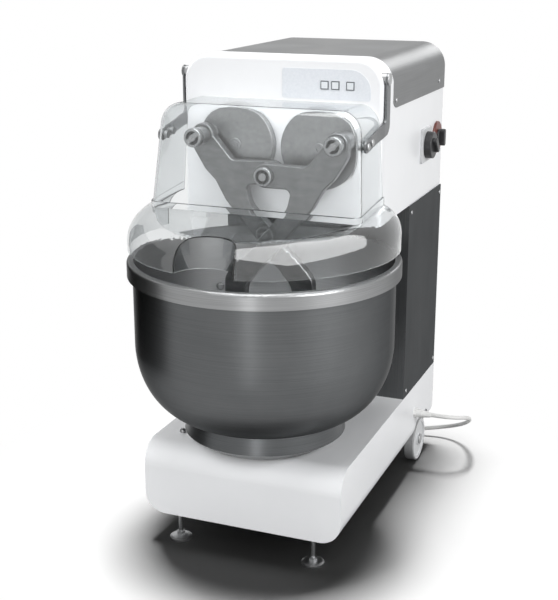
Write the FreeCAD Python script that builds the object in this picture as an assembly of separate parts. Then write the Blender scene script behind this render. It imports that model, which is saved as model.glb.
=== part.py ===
import FreeCAD, Part
import math
import os

# A twin-arm dough mixer: a steel bowl turns on a low base while two cranked arms dive into it.
# Millimetres, +Z up, front towards -Y, floor at z = 0.
os.makedirs("parts", exist_ok=True)
V = FreeCAD.Vector

# Body: base, column and head
body_half_width = 226.0
body_rear = 445.0
base_front = -298.0
base_bottom = 69.0
base_height = 159.0
base_wall = 3.0
base_front_round = 50.0
base_edge_round = 46.0
base_rear_round = 40.0
column_front = 159.0
column_height = 469.0
sheet = 2.0
post_side = 30.0
post_wall = 3.0
head_front = -64.0
head_height = 345.0
head_inset = 2.0
head_corner_round = 57.0
front_cover_depth = 74.0
front_cover_wall = 3.0
front_cover_edge_round = 8.0
head_floor_thickness = 4.0
top_cover_sheet = 1.5
top_cover_flap = 107.0
flap_corner_round = 30.0
casing_overlap = 40.0
floor_plate_thickness = 5.0
floor_plate_margin = 12.0
floor_plate_rear = 300.0
fit_gap = 0.05
seat_gap = 0.3
cover_gap = 0.5

# Bowl and turntable
bowl_y = -155.0
bowl_radius = 278.4
bowl_wall = 3.0
bowl_flat_radius = 151.4
bowl_bottom = 291.0
bowl_round_height = 164.5
bowl_height = 345.0
rim_overhang = 11.6
rim_band = 33.0
rim_edge_round = 6.0
turntable_foot_inset = 11.4
turntable_belt_outset = 24.6
turntable_top_outset = 16.6
turntable_lift = 2.0
turntable_belt_lift = 26.0
turntable_wall = 6.0
bowl_shaft_radius = 25.0
bearing_flange_radius = 72.0
bearing_spigot_radius = 42.0
bearing_spigot_drop = 30.0

# Cranks and mixing arms
crank_spacing = 190.0
crank_z = 857.0
crank_disc_radius = 86.0
crank_disc_thickness = 20.0
crank_disc_gap = 2.0
crank_throw = 64.0
crank_rest_angle = 20.0
crank_shaft_radius = 15.0
crank_spigot_radius = 10.0
crank_bolt_radius = 13.0
crank_bolt_head = 5.0
pin_radius = 12.0
pin_collar_radius = 20.0
pin_spigot_radius = 8.0
cap_length = 18.0
cap_radius = 20.0
arm_thickness = 24.0
arm_layer_gap = 4.0
arm_disc_gap = 12.0
pin_sleeve = 33.0
bush_wall = 3.0
eye_radius = 24.0
pivot_drop = 73.0
pivot_boss_radius = 26.0
pivot_cap_radius = 20.0
pivot_cap_length = 16.0
limb_cross_z = 650.0
limb_half_width = 26.0
blade_half_width = 24.0
blade_x = 72.0
blade_bottom = 405.0
fork_slot_width = 14.0
fork_slot_height = 95.0
arm_edge_round = 3.0
gear_teeth = 38
gear_width = 20.0
gear_y = 60.0
gear_backlash = 1.6

# Bearings, drive pulleys and belts
plate_thickness = 12.0
plate_top = 1000.0
rear_plate_y = 130.0
bearing_ring_radius = 31.0
arm_belt_y = 198.0
bowl_belt_y = 223.0
belt_width = 14.0
belt_thickness = 5.0
crank_pulley_radius = 80.0
motor_pulley_radius = 28.0
reducer_pulley_radius = 45.0
pulley_flange = 3.0
motor_z = 470.0
motor_radius = 70.0
motor_front = 258.0
motor_length = 150.0
motor_shaft_radius = 12.0
motor_foot_height = 14.0
shelf_thickness = 6.0
reducer_half_x = 78.0
reducer_half_y = 66.0
reducer_height = 100.0
input_x = 52.0
input_clear = 1.7
input_shaft_radius = 10.0
pedestal_y = 182.0
pedestal_thickness = 12.0
box_width = 90.0
box_depth = 150.0
box_height = 160.0

# Clear shield, its straps and hinge
shield_wall = 3.0
shield_back_gap = 2.0
shield_top = 953.0
shield_ledge_z = 743.0
shield_ledge = 24.0
shield_top_inset = 8.0
shield_ledge_outset = 7.0
shield_front_top = -195.0
shield_front_ledge = -225.0
shield_side_round = 46.0
shield_front_round = 24.0
shield_corner_round = 16.0
shield_crown = 0.6
dome_foot_z = 661.0
dome_inset = 3.0
dome_top_z = 744.0
dome_fall = 0.083
dome_round = 58.0
recess_x = -12.0
recess_y = -436.0
recess_radius = 63.0
hinge_y = -46.0
hinge_z = 1003.0
hinge_pin_radius = 8.0
hinge_boss_radius = 12.0
hinge_head_radius = 13.0
hinge_head = 2.5
strap_width = 24.0
strap_thickness = 4.0
strap_clear = 3.0
strap_joggle = 3.0
strap_knee_z = 905.0
strap_end_y = -186.0
strap_end_z = 881.0
strap_bolt_radius = 4.0
strap_bolt_pitch = 26.0
strap_bolt_head_radius = 7.0
strap_bolt_head = 4.0
strap_nut_radius = 8.0
strap_nut = 8.0

# Controls
film_left = 4.0
film_right = 198.0
film_low = 958.0
film_high = 1020.0
film_thickness = 0.8
film_round = 44.0
key_side = 17.5
key_centres = (98.0, 121.5, 154.0)
key_z = 987.5
key_proud = 1.2
key_flange = 2.0
switch_y = 285.0
switch_z = 819.0
switch_plate_side = 79.0
switch_plate_thickness = 6.0
switch_disc_radius = 31.0
selector_y = 388.0
selector_z = 822.0
bezel_radius = 38.0
selector_hub_radius = 19.0
switch_knob_base = 17.0
switch_knob_grip = 10.0
selector_knob_base = 5.0
selector_knob_grip = 12.0
knob_grip_length = 40.0
knob_grip_width = 15.0
knob_stem_radius = 5.0

# Feet, wheels, gland and screws
foot_inset = 70.0
foot_y = -269.0
foot_pad_radius = 24.5
foot_pad_height = 10.0
foot_stem_radius = 5.0
foot_nut_height = 8.0
foot_nut_radius = 9.8
foot_boss_radius = 14.0
foot_boss_height = 26.0
wheel_y = 338.0
wheel_radius = 55.0
wheel_width = 26.0
wheel_recess = 4.0
wheel_hub_radius = 12.0
wheel_face_radius = 44.0
well_gap = 6.0
well_depth = 34.0
well_top = 122.0
axle_radius = 8.0
axle_head_radius = 13.0
axle_head = 3.5
bracket_thickness = 6.0
bracket_reach = 34.0
bracket_drop = 20.0
bracket_flange = 30.0
hub_reach = 18.0
gland_y = 266.0
gland_z = 154.0
gland_flange_radius = 13.0
gland_flange = 6.0
gland_length = 42.0
screw_head_radius = 4.5
screw_head = 2.2
screw_shank_radius = 2.0
screw_length = 8.0

# Mains lead
cord_radius = 5.0
coil_turns = 2
coil_middle_radius = 55.0
coil_strand_gap = 0.6
coil_x = 0.0
coil_y = 524.0
coil_lift = 1.7
tie_thickness = 1.2
tie_width = 12.0
plug_length = 58.0
plug_pin_radius = 2.4
plug_pin_length = 19.0
plug_pin_spacing = 19.0

# Places worked out from the sizes above
base_top = base_bottom + base_height
head_bottom = base_top + column_height
head_top = head_bottom + head_height
head_half_width = body_half_width - head_inset
foot_x = body_half_width - foot_inset
floor_plate_half_width = foot_x + floor_plate_margin
casing_half_width = head_half_width - top_cover_sheet - fit_gap
front_cover_back = head_front + front_cover_depth
flap_bottom = head_top - top_cover_flap
floor_plate_low = base_bottom + base_wall
floor_plate_high = floor_plate_low + floor_plate_thickness
head_floor_top = head_bottom + head_floor_thickness
front_plate_y = front_cover_back + sheet
input_z = floor_plate_high + reducer_pulley_radius + belt_thickness + seat_gap + input_clear
rim_radius = bowl_radius + rim_overhang
dome_radius = rim_radius - dome_inset
rim_top = bowl_bottom + bowl_height
round_top = bowl_bottom + bowl_round_height
disc_back = head_front - crank_disc_gap
disc_front = disc_back - crank_disc_thickness
rear_arm_back = disc_front - arm_disc_gap
rear_arm_front = rear_arm_back - arm_thickness
front_arm_back = rear_arm_front - arm_layer_gap
front_arm_front = front_arm_back - arm_thickness
cap_back = rear_arm_front - pin_sleeve
crank_x = crank_spacing / 2
rest_angle = math.radians(crank_rest_angle)
pin_x = crank_x + crank_throw * math.cos(rest_angle)
pin_z = crank_z + crank_throw * math.sin(rest_angle)
pivot_z = pin_z - pivot_drop
shelf_top = motor_z - motor_radius - motor_foot_height
shield_back = head_front - shield_back_gap
shield_top_half = head_half_width - shield_top_inset
shield_ledge_half = head_half_width + shield_ledge_outset
strap_inner = head_half_width + strap_clear
strap_outer = strap_inner + strap_thickness
wheel_outer = body_half_width - wheel_recess
wheel_inner = wheel_outer - wheel_width
bracket_x = wheel_inner - hub_reach - bracket_thickness
switch_face = casing_half_width + switch_plate_thickness
axle_outer = wheel_outer + seat_gap + axle_head
gland_end = body_half_width + gland_length
coil_step = 2 * cord_radius + coil_strand_gap
coil_low_z = cord_radius + coil_lift
coil_high_z = coil_low_z + coil_step
coil_outer_radius = coil_middle_radius + coil_step * coil_turns / 2
coil_inner_radius = coil_middle_radius - coil_step * coil_turns / 2


def box(x0, x1, y0, y1, z0, z1):
    return Part.makeBox(x1 - x0, y1 - y0, z1 - z0, V(x0, y0, z0))


def rod(radius, start, end):
    """Round bar between two points."""
    return Part.makeCylinder(radius, (end - start).Length, start, end - start)


def rod_x(radius, x0, x1, y, z):
    return rod(radius, V(x0, y, z), V(x1, y, z))


def rod_y(radius, y0, y1, x, z):
    return rod(radius, V(x, y0, z), V(x, y1, z))


def rod_z(radius, z0, z1, x, y):
    return rod(radius, V(x, y, z0), V(x, y, z1))


def in_xz(u, v):
    return V(u, 0, v)


def in_yz(u, v):
    return V(0, u, v)


def in_xy(u, v):
    return V(u, v, 0)


def outline(corners, place):
    """Closed face through corners (u, v, radius), each corner rounded by its radius."""
    edges = []
    count = len(corners)
    starts, middles, ends = [], [], []
    for i, (u, v, radius) in enumerate(corners):
        here = FreeCAD.Vector(u, v, 0)
        before = V(corners[i - 1][0], corners[i - 1][1], 0) - here
        after = V(corners[(i + 1) % count][0], corners[(i + 1) % count][1], 0) - here
        before.normalize()
        after.normalize()
        half = before.getAngle(after) / 2
        reach = radius / math.tan(half)
        bisector = (before + after).normalize() if radius else V(0, 0, 0)
        starts.append(here + before * reach)
        ends.append(here + after * reach)
        middles.append(here + bisector * (radius / math.sin(half) - radius))
    for i, (u, v, radius) in enumerate(corners):
        if radius:
            points = [place(p.x, p.y) for p in (starts[i], middles[i], ends[i])]
            edges.append(Part.Arc(*points).toShape())
        following = (i + 1) % count
        first = place(ends[i].x, ends[i].y)
        second = place(starts[following].x, starts[following].y)
        if (second - first).Length > 1e-6:
            edges.append(Part.LineSegment(first, second).toShape())
    return Part.Face(Part.Wire(Part.__sortEdges__(edges)))


def extrude_x(face, x0, x1):
    return face.translated(V(x0, 0, 0)).extrude(V(x1 - x0, 0, 0))


def extrude_y(face, y0, y1):
    return face.translated(V(0, y0, 0)).extrude(V(0, y1 - y0, 0))


def extrude_z(face, z0, z1):
    return face.translated(V(0, 0, z0)).extrude(V(0, 0, z1 - z0))


def rectangle(u0, u1, v0, v1, radius, place):
    corners = [(u0, v0, radius), (u1, v0, radius), (u1, v1, radius), (u0, v1, radius)]
    return outline(corners, place)


def revolve_z(edges, x, y):
    """Solid from profile edges drawn in the XZ plane, turned about the upright axis at x, y."""
    face = Part.Face(Part.Wire(Part.__sortEdges__(edges)))
    solid = face.revolve(V(0, 0, 0), V(0, 0, 1), 360)
    return solid.translated(V(x, y, 0))


def polyline(points):
    return [Part.LineSegment(a, b).toShape() for a, b in zip(points, points[1:])]


def mirrored(shape):
    return shape.mirror(V(0, 0, 0), V(1, 0, 0))


def both_sides(shape):
    return [shape, mirrored(shape)]


def cut_all(shape, tools):
    return shape.cut(Part.makeCompound(tools))


def fuse_all(shapes):
    return shapes[0].multiFuse(shapes[1:]).removeSplitter()


def round_edges(shape, radius, chosen):
    return shape.makeFillet(radius, [edge for edge in shape.Edges if chosen(edge)])


def save(name, shapes):
    solids = [solid for shape in shapes for solid in shape.Solids]
    shape = solids[0] if len(solids) == 1 else Part.makeCompound(solids)
    shape.exportStep("parts/" + name + ".step")
    state = all(solid.isValid() and solid.Volume > 0 for solid in solids)
    print(name, len(solids), "solids", round(shape.Volume / 1000, 1), "cm3", "ok" if state else "BAD")


def screw_spots():
    """Places of the cover screws on the right side: x of the sheet's outside, y, z."""
    top_x = head_half_width
    column_x = body_half_width
    inset = post_side / 2 + sheet
    front_y = column_front + inset
    rear_y = body_rear - inset
    spots = [(top_x, front_cover_back + 22, flap_bottom + 16), (top_x, rear_y - 36, flap_bottom + 20)]
    for z in (base_top + inset, head_bottom - inset):
        spots += [(column_x, front_y, z), (column_x, rear_y, z)]
    return spots


def screw_holes():
    radius = screw_shank_radius + fit_gap
    holes = []
    for x, y, z in screw_spots():
        holes += both_sides(rod_x(radius, x - screw_length - seat_gap, x + screw_head, y, z))
    return holes


def cover_screws():
    screws = []
    for x, y, z in screw_spots():
        head = rod_x(screw_head_radius, x, x + screw_head, y, z)
        head = round_edges(head, screw_head * 0.6, lambda edge: edge.CenterOfMass.x > x + screw_head * 0.9
                           and edge.Curve.TypeId == "Part::GeomCircle")
        shank = rod_x(screw_shank_radius, x - screw_length, x, y, z)
        screws += both_sides(head.fuse(shank).removeSplitter())
    return screws


def wheel_wells(grow):
    """Wheel spaces at both sides of the base, grown by a wall for the inside of the sheet."""
    reach = wheel_radius + well_gap + grow
    face = rectangle(wheel_y - reach, wheel_y + reach, -wheel_radius, well_top + grow, 24 + grow, in_yz)
    return both_sides(extrude_x(face, body_half_width - well_depth - grow, body_half_width + base_wall))


def base_body(inset):
    """Outside of the base, drawn in by a wall for its inside."""
    half = body_half_width - inset
    low = base_bottom + inset
    high = base_top - inset
    edge = base_edge_round - inset
    corners = [(-half, low, edge), (half, low, edge), (half, high, 0), (-half, high, 0)]
    body = extrude_y(outline(corners, in_xz), base_front + inset, body_rear - inset)
    side = [(base_front + inset, low, 0), (body_rear - inset, low, base_rear_round - inset),
            (body_rear - inset, high, 0), (base_front + inset, high, base_front_round - inset)]
    return body.common(extrude_x(outline(side, in_yz), -half, half))


def base_shell():
    outside = cut_all(base_body(0), wheel_wells(0))
    inside = cut_all(base_body(base_wall), wheel_wells(base_wall))
    shell = outside.cut(inside)
    inner = post_side + sheet
    opening = box(-body_half_width + inner, body_half_width - inner, column_front + inner,
                  body_rear - inner, base_top - base_wall, base_top)
    bearing = rod_z(bearing_spigot_radius + fit_gap, base_top - base_wall, base_top, 0, bowl_y)
    hatch = box(-floor_plate_half_width + 20, floor_plate_half_width - 20, base_front + 60,
                floor_plate_rear - 20, base_bottom, floor_plate_low)
    stems = both_sides(rod_z(foot_stem_radius + 1, base_bottom, floor_plate_low, foot_x, foot_y))
    gland = rod_x(cord_radius + 1, body_half_width - base_wall, body_half_width, gland_y, gland_z)
    return cut_all(shell, [opening, bearing, hatch, gland] + stems)


def base_floor_plate():
    plate = box(-floor_plate_half_width, floor_plate_half_width, base_front + base_wall + 6,
                floor_plate_rear, floor_plate_low, floor_plate_high)
    bosses = both_sides(rod_z(foot_boss_radius, floor_plate_high, floor_plate_high + foot_boss_height,
                              foot_x, foot_y))
    pedestal = box(input_x - 24, input_x + 24, pedestal_y, pedestal_y + pedestal_thickness,
                   floor_plate_high, input_z + 24)
    plate = fuse_all([plate, pedestal] + bosses)
    stems = both_sides(rod_z(foot_stem_radius + fit_gap, 0, base_top, foot_x, foot_y))
    shaft = rod_y(input_shaft_radius + fit_gap, 0, body_rear, input_x, input_z)
    return cut_all(plate, stems + [shaft])


def column_frame():
    """Four square posts, two rings of rails and the motor shelf, welded into one frame."""
    outer = body_half_width - sheet
    front = column_front + sheet
    rear = body_rear - sheet
    pieces = []
    hollows = []
    for y in (front, rear - post_side):
        post = box(outer - post_side, outer, y, y + post_side, base_top, head_bottom)
        hollow = box(outer - post_side + post_wall, outer - post_wall, y + post_wall,
                     y + post_side - post_wall, base_top, head_bottom)
        pieces += both_sides(post)
        hollows += both_sides(hollow)
        for z in (base_top, head_bottom - post_side):
            pieces.append(box(-outer + 1, outer - 1, y, y + post_side, z, z + post_side))
    for z in (base_top, head_bottom - post_side):
        pieces += both_sides(box(outer - post_side, outer, front + 1, rear - 1, z, z + post_side))
    shelf = box(-outer + 1, outer - 1, motor_front - 20, rear - 1, shelf_top - shelf_thickness, shelf_top)
    pieces.append(shelf)
    frame = fuse_all(pieces)
    return cut_all(frame, hollows + screw_holes())


def column_cover():
    """Brushed sheet wrapped round the front and both sides of the column."""
    rear = body_rear - sheet
    wrap = box(-body_half_width, body_half_width, column_front, rear, base_top, head_bottom)
    inside = box(-body_half_width + sheet, body_half_width - sheet, column_front + sheet, rear,
                 base_top, head_bottom)
    return cut_all(wrap.cut(inside), screw_holes())


def rear_cover():
    low_half = body_half_width - sheet - cover_gap
    high_half = casing_half_width - sheet - cover_gap
    low = box(-low_half, low_half, body_rear - sheet, body_rear, base_top + cover_gap, head_bottom)
    round_radius = head_corner_round - top_cover_sheet - cover_gap
    top = head_top - top_cover_sheet - cover_gap
    corners = [(-high_half, head_bottom, 0), (high_half, head_bottom, 0),
               (high_half, top, round_radius), (-high_half, top, round_radius)]
    high = extrude_y(outline(corners, in_xz), body_rear - sheet, body_rear)
    return low.fuse(high).removeSplitter()


def head_casing():
    """White sheet sides and floor of the head, open above."""
    rear = body_rear - sheet
    wall_top = flap_bottom + casing_overlap
    half = casing_half_width
    block = box(-half, half, front_cover_back, rear, head_bottom, wall_top)
    inside = box(-half + sheet, half - sheet, front_cover_back, rear, head_floor_top, wall_top)
    inner = post_side + sheet
    opening = box(-body_half_width + inner + sheet, body_half_width - inner - sheet, column_front + sheet,
                  rear - inner, head_bottom, head_floor_top)
    stems = [rod_x(knob_stem_radius + fit_gap, 0, body_half_width, switch_y, switch_z),
             rod_x(knob_stem_radius + fit_gap, 0, body_half_width, selector_y, selector_z)]
    return cut_all(block.cut(inside), [opening] + stems + screw_holes())


def head_profile(inset):
    half = head_half_width - inset
    top = head_top - inset
    radius = head_corner_round - inset
    corners = [(-half, head_bottom + inset, 0), (half, head_bottom + inset, 0),
               (half, top, radius), (-half, top, radius)]
    return outline(corners, in_xz)


def head_front_cover():
    """White moulded front of the head, with holes for the crank shafts, keys and hinge bosses."""
    outside = extrude_y(head_profile(0), head_front, front_cover_back)
    outside = round_edges(outside, front_cover_edge_round,
                          lambda edge: edge.BoundBox.YMax < head_front + 0.1
                          and edge.BoundBox.ZMax > head_bottom + 0.1)
    inside = extrude_y(head_profile(front_cover_wall), head_front + front_cover_wall, front_cover_back)
    shafts = both_sides(rod_y(crank_shaft_radius + 3, head_front, front_cover_back, crank_x, crank_z))
    hole = key_side / 2 + seat_gap
    keys = [box(x - hole, x + hole, head_front, head_front + front_cover_wall, key_z - hole, key_z + hole)
            for x in key_centres]
    bosses = both_sides(rod_x(hinge_boss_radius + fit_gap, head_half_width - head_corner_round,
                              head_half_width, hinge_y, hinge_z))
    return cut_all(outside.cut(inside), shafts + keys + bosses)


def head_top_cover():
    """Brushed sheet folded over the top of the head, with a flap down each side."""
    half = head_half_width
    corners = [(-half, flap_bottom, 0), (half, flap_bottom, 0), (half, head_top, head_corner_round),
               (-half, head_top, head_corner_round)]
    outside = extrude_y(outline(corners, in_xz), front_cover_back, body_rear)
    half = half - top_cover_sheet
    radius = head_corner_round - top_cover_sheet
    corners = [(-half, flap_bottom, 0), (half, flap_bottom, 0), (half, head_top - top_cover_sheet, radius),
               (-half, head_top - top_cover_sheet, radius)]
    inside = extrude_y(outline(corners, in_xz), front_cover_back, body_rear)
    side = [(front_cover_back, flap_bottom, flap_corner_round), (body_rear, flap_bottom, 0),
            (body_rear, head_top, 0), (front_cover_back, head_top, 0)]
    trimmed = outside.cut(inside).common(extrude_x(outline(side, in_yz), -head_half_width, head_half_width))
    return cut_all(trimmed, screw_holes())


def control_panel_film():
    corners = [(film_left, film_low, 5), (film_right, film_low, 5), (film_right, film_high, film_round),
               (film_left, film_high, 5)]
    film = extrude_y(outline(corners, in_xz), head_front - film_thickness, head_front)
    hole = key_side / 2 + seat_gap
    keys = [box(x - hole, x + hole, head_front - film_thickness, head_front, key_z - hole, key_z + hole)
            for x in key_centres]
    return cut_all(film, keys)


def key(x):
    """Square push key: its cap stands in the film, its flange stays behind the front cover."""
    half = key_side / 2
    front = head_front - film_thickness - key_proud
    back = head_front + front_cover_wall + seat_gap
    cap = extrude_y(rectangle(x - half, x + half, key_z - half, key_z + half, 1.5, in_xz), front, back)
    cap = round_edges(cap, 0.6, lambda edge: edge.BoundBox.YMax < front + 0.01)
    lip = half + key_flange
    flange = box(x - lip, x + lip, back, back + key_flange, key_z - lip, key_z + lip)
    return cap.fuse(flange).removeSplitter()


def bearing_plates():
    half = casing_half_width - sheet - cover_gap
    plates = []
    for y in (front_plate_y, rear_plate_y):
        plate = box(-half, half, y, y + plate_thickness, head_floor_top, plate_top)
        bores = both_sides(rod_y(bearing_ring_radius, y, y + plate_thickness, crank_x, crank_z))
        plates.append(cut_all(plate, bores + screw_holes()))
    return plates


def crank_bearings():
    rings = []
    for y in (front_plate_y, rear_plate_y):
        ring = rod_y(bearing_ring_radius - fit_gap, y, y + plate_thickness, crank_x, crank_z)
        ring = ring.cut(rod_y(crank_shaft_radius + fit_gap, y, y + plate_thickness, crank_x, crank_z))
        rings += both_sides(ring)
    return rings


def gear_blank(phase):
    """Spur gear with straight-sided teeth about the origin of the XZ plane."""
    pitch_radius = crank_spacing / 2
    module = crank_spacing / gear_teeth
    tip = pitch_radius + 0.9 * module
    root = pitch_radius - 1.25 * module
    pitch = 2 * math.pi / gear_teeth
    tooth = math.pi * module / 2 - gear_backlash
    flank = math.tan(math.radians(20))
    tip_half = (tooth / 2 - 0.9 * module * flank) / tip
    root_half = (tooth / 2 + 1.25 * module * flank) / root
    points = []
    for i in range(gear_teeth):
        angle = (i + phase) * pitch
        for radius, turn in ((root, -root_half), (tip, -tip_half), (tip, tip_half), (root, root_half)):
            points.append(V(radius * math.cos(angle + turn), 0, radius * math.sin(angle + turn)))
    return Part.Face(Part.makePolygon(points + [points[0]]))


def crank_shaft(side, back, phase):
    """Crank shaft with its timing gear, and the spigot that carries the disc."""
    x = side * crank_x
    gear = gear_blank(phase).translated(V(x, gear_y, crank_z)).extrude(V(0, gear_width, 0))
    shaft = rod_y(crank_shaft_radius, disc_back, back, x, crank_z)
    spigot = rod_y(crank_spigot_radius, disc_front, disc_back, x, crank_z)
    return fuse_all([gear, shaft, spigot])


def crank_disc(side):
    x = side * crank_x
    disc = rod_y(crank_disc_radius, disc_front, disc_back, x, crank_z)
    disc = round_edges(disc, 2.0, lambda edge: edge.BoundBox.YMax < disc_front + 0.01)
    bore = rod_y(crank_spigot_radius + fit_gap, disc_front, disc_back, x, crank_z)
    socket = rod_y(pin_spigot_radius + fit_gap, disc_front, disc_back, side * pin_x, pin_z)
    return cut_all(disc, [bore, socket])


def disc_bolt(side):
    """Flanged bolt in the middle of a crank disc."""
    x = side * crank_x
    middle = disc_front - crank_bolt_head / 2
    flange = rod_y(crank_bolt_radius, middle, disc_front, x, crank_z)
    flange = round_edges(flange, 1.0, lambda edge: edge.BoundBox.YMax < middle + 0.01)
    head = rod_y(crank_bolt_radius * 0.55, disc_front - crank_bolt_head, middle, x, crank_z)
    socket = rod_y(crank_bolt_radius * 0.28, disc_front - crank_bolt_head, middle, x, crank_z)
    return flange.fuse(head).removeSplitter().cut(socket)


def crank_pin(side, arm_back, arm_front):
    """Crank pin: spigot in the disc, collar behind the arm, bearing length and sleeve in front of it."""
    x = side * pin_x
    spigot = rod_y(pin_spigot_radius, disc_front, disc_back, x, pin_z)
    collar = rod_y(pin_collar_radius, arm_back + seat_gap, disc_front, x, pin_z)
    bearing = rod_y(pin_radius, cap_back, disc_front, x, pin_z)
    sleeve = rod_y(pin_collar_radius - 2, cap_back, arm_front - seat_gap, x, pin_z)
    return fuse_all([spigot, collar, bearing, sleeve])


def pin_cap(side):
    """Screwed cap on the end of a crank pin, with a grip bar between two pockets."""
    x = side * pin_x
    front = cap_back - cap_length
    cap = rod_y(cap_radius, front, cap_back, x, pin_z)
    cap = round_edges(cap, 2.5, lambda edge: edge.BoundBox.YMax < front + 0.01)
    groove_y = cap_back - cap_length * 0.35
    groove = rod_y(cap_radius + 1, groove_y, groove_y + 2, x, pin_z)
    groove = groove.cut(rod_y(cap_radius - 1.5, groove_y, groove_y + 2, x, pin_z))
    pocket = rod_y(cap_radius * 0.72, front, front + 5, x, pin_z)
    bar = box(x - cap_radius, x + cap_radius, front, front + 5, pin_z - 5, pin_z + 5)
    bar.rotate(V(x, 0, pin_z), V(0, 1, 0), -40)
    hub = rod_y(cap_radius * 0.36, front, front + 5, x, pin_z)
    pocket = pocket.cut(bar).cut(hub)
    return cut_all(cap, [groove, pocket])


def crank_pulley():
    x = -crank_x
    return belt_pulley(x, crank_z, crank_pulley_radius, arm_belt_y, crank_shaft_radius + fit_gap)


def belt_pulley(x, z, radius, y, bore):
    """Flanged pulley about a shaft along Y; bore 0 leaves it solid."""
    rim = rod_y(radius, y, y + belt_width + 2 * seat_gap, x, z)
    flange = radius + belt_thickness * 0.6
    front = rod_y(flange, y - pulley_flange, y, x, z)
    back_y = y + belt_width + 2 * seat_gap
    back = rod_y(flange, back_y, back_y + pulley_flange, x, z)
    pulley = fuse_all([rim, front, back])
    if bore:
        pulley = pulley.cut(rod_y(bore, y - pulley_flange, back_y + pulley_flange, x, z))
    return pulley


def belt_loop(first, second, y):
    """Flat belt round two pulleys, each given as x, z and radius."""
    shapes = []
    for grow in (belt_thickness + seat_gap, seat_gap):
        (x1, z1, r1), (x2, z2, r2) = first, second
        r1, r2 = r1 + grow, r2 + grow
        span = math.hypot(x2 - x1, z2 - z1)
        along = math.atan2(z2 - z1, x2 - x1)
        lean = math.acos((r1 - r2) / span)
        corners = []
        for x, z, r, turn in ((x1, z1, r1, lean), (x2, z2, r2, lean), (x2, z2, r2, -lean), (x1, z1, r1, -lean)):
            corners.append(V(x + r * math.cos(along + turn), 0, z + r * math.sin(along + turn)))
        far_1 = V(x1 - r1 * math.cos(along), 0, z1 - r1 * math.sin(along))
        far_2 = V(x2 + r2 * math.cos(along), 0, z2 + r2 * math.sin(along))
        edges = [Part.LineSegment(corners[0], corners[1]).toShape(),
                 Part.Arc(corners[1], far_2, corners[2]).toShape(),
                 Part.LineSegment(corners[2], corners[3]).toShape(),
                 Part.Arc(corners[3], far_1, corners[0]).toShape()]
        shapes.append(Part.Face(Part.Wire(edges)))
    return extrude_y(shapes[0].cut(shapes[1]).Faces[0], y + seat_gap, y + seat_gap + belt_width)


def arm_outline():
    """Outline of the right arm, seen from the front: eye, elbow, bar to the middle, crossing limb, blade."""
    eye_left = pin_x - eye_radius
    eye_right = pin_x + eye_radius
    eye_top = pin_z + eye_radius
    bar_low = pivot_z - pivot_boss_radius
    bar_high = pivot_z + pivot_boss_radius
    lean = (blade_x + limb_half_width) / (limb_cross_z - blade_bottom)
    outer_x = limb_half_width + lean * 3.4 * limb_half_width
    blade_top = limb_cross_z - (blade_x + limb_half_width - blade_half_width) / 0.85
    return [
        (eye_left, eye_top, eye_radius - 1),
        (eye_right, eye_top, eye_radius - 1),
        (eye_right, pin_z - 27, 38),
        (pin_x - 5, bar_high - 26, 30),
        (outer_x + 66, bar_low + 4, 20),
        (outer_x + 42, bar_low - 38, 30),
        (-blade_x + blade_half_width, blade_top, 40),
        (-blade_x + blade_half_width, blade_bottom, 20),
        (-blade_x - blade_half_width, blade_bottom, 20),
        (-blade_x - blade_half_width, blade_top + 20, 40),
        (outer_x - 14, bar_low - 42, 40),
        (outer_x - 4, bar_low, 12),
        (-pivot_boss_radius, bar_low, pivot_boss_radius - 1),
        (-pivot_boss_radius, bar_high, pivot_boss_radius - 1),
        (pin_x - 67, bar_high - 3, 16),
        (eye_left, pin_z - 1, 5),
    ]


def mixing_arm(front, back):
    """Cast arm of the right-hand crank, between two depths."""
    arm = extrude_y(outline(arm_outline(), in_xz), front, back)
    arm = round_edges(arm, arm_edge_round, lambda edge: edge.BoundBox.YLength < 0.01)
    bore = rod_y(pin_radius + fit_gap + bush_wall, front, back, pin_x, pin_z)
    return arm.cut(bore)


def fork_slot(front, back):
    """Slot that splits the blade of one arm into two tines."""
    half = fork_slot_width / 2
    face = rectangle(-blade_x - half, -blade_x + half, blade_bottom - fork_slot_width,
                     blade_bottom + fork_slot_height, half - 0.5, in_xz)
    return extrude_y(face, front, back)


def arm_bush(side, front, back):
    x = side * pin_x
    bush = rod_y(pin_radius + bush_wall, front, back, x, pin_z)
    return bush.cut(rod_y(pin_radius + fit_gap, front, back, x, pin_z))


def pivot_cap():
    """Cap over the pivot that the two arms share."""
    front = front_arm_front - pivot_cap_length
    cap = rod_y(pivot_cap_radius, front, front_arm_front, 0, pivot_z)
    cap = round_edges(cap, 2.0, lambda edge: edge.BoundBox.YMax < front + 0.01)
    ring = rod_y(pivot_cap_radius * 0.75, front, front + 3, 0, pivot_z)
    boss = rod_y(pivot_cap_radius * 0.42, front, front + 3, 0, pivot_z)
    return cap.cut(ring.cut(boss))


def drive_motor():
    """Motor with end bells, foot and terminal box, standing on the column's shelf."""
    back = motor_front + motor_length
    body = rod_y(motor_radius, motor_front, back, 0, motor_z)
    nose = rod_y(motor_radius * 0.6, motor_front - 12, motor_front, 0, motor_z)
    foot = box(-motor_radius * 0.7, motor_radius * 0.7, motor_front + 30, back - 30, shelf_top, motor_z)
    terminal = box(-30, 30, motor_front + 50, back - 40, motor_z, motor_z + motor_radius + 26)
    bore = rod_y(motor_shaft_radius + fit_gap, motor_front - 12, motor_front + 40, 0, motor_z)
    return fuse_all([body, nose, foot, terminal]).cut(bore)


def motor_pulley():
    """Motor shaft with its two pulleys."""
    shaft = rod_y(motor_shaft_radius, arm_belt_y - pulley_flange, motor_front + 40, 0, motor_z)
    first = belt_pulley(0, motor_z, motor_pulley_radius, arm_belt_y, 0)
    second = belt_pulley(0, motor_z, motor_pulley_radius, bowl_belt_y, 0)
    return fuse_all([shaft, first, second])


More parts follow.
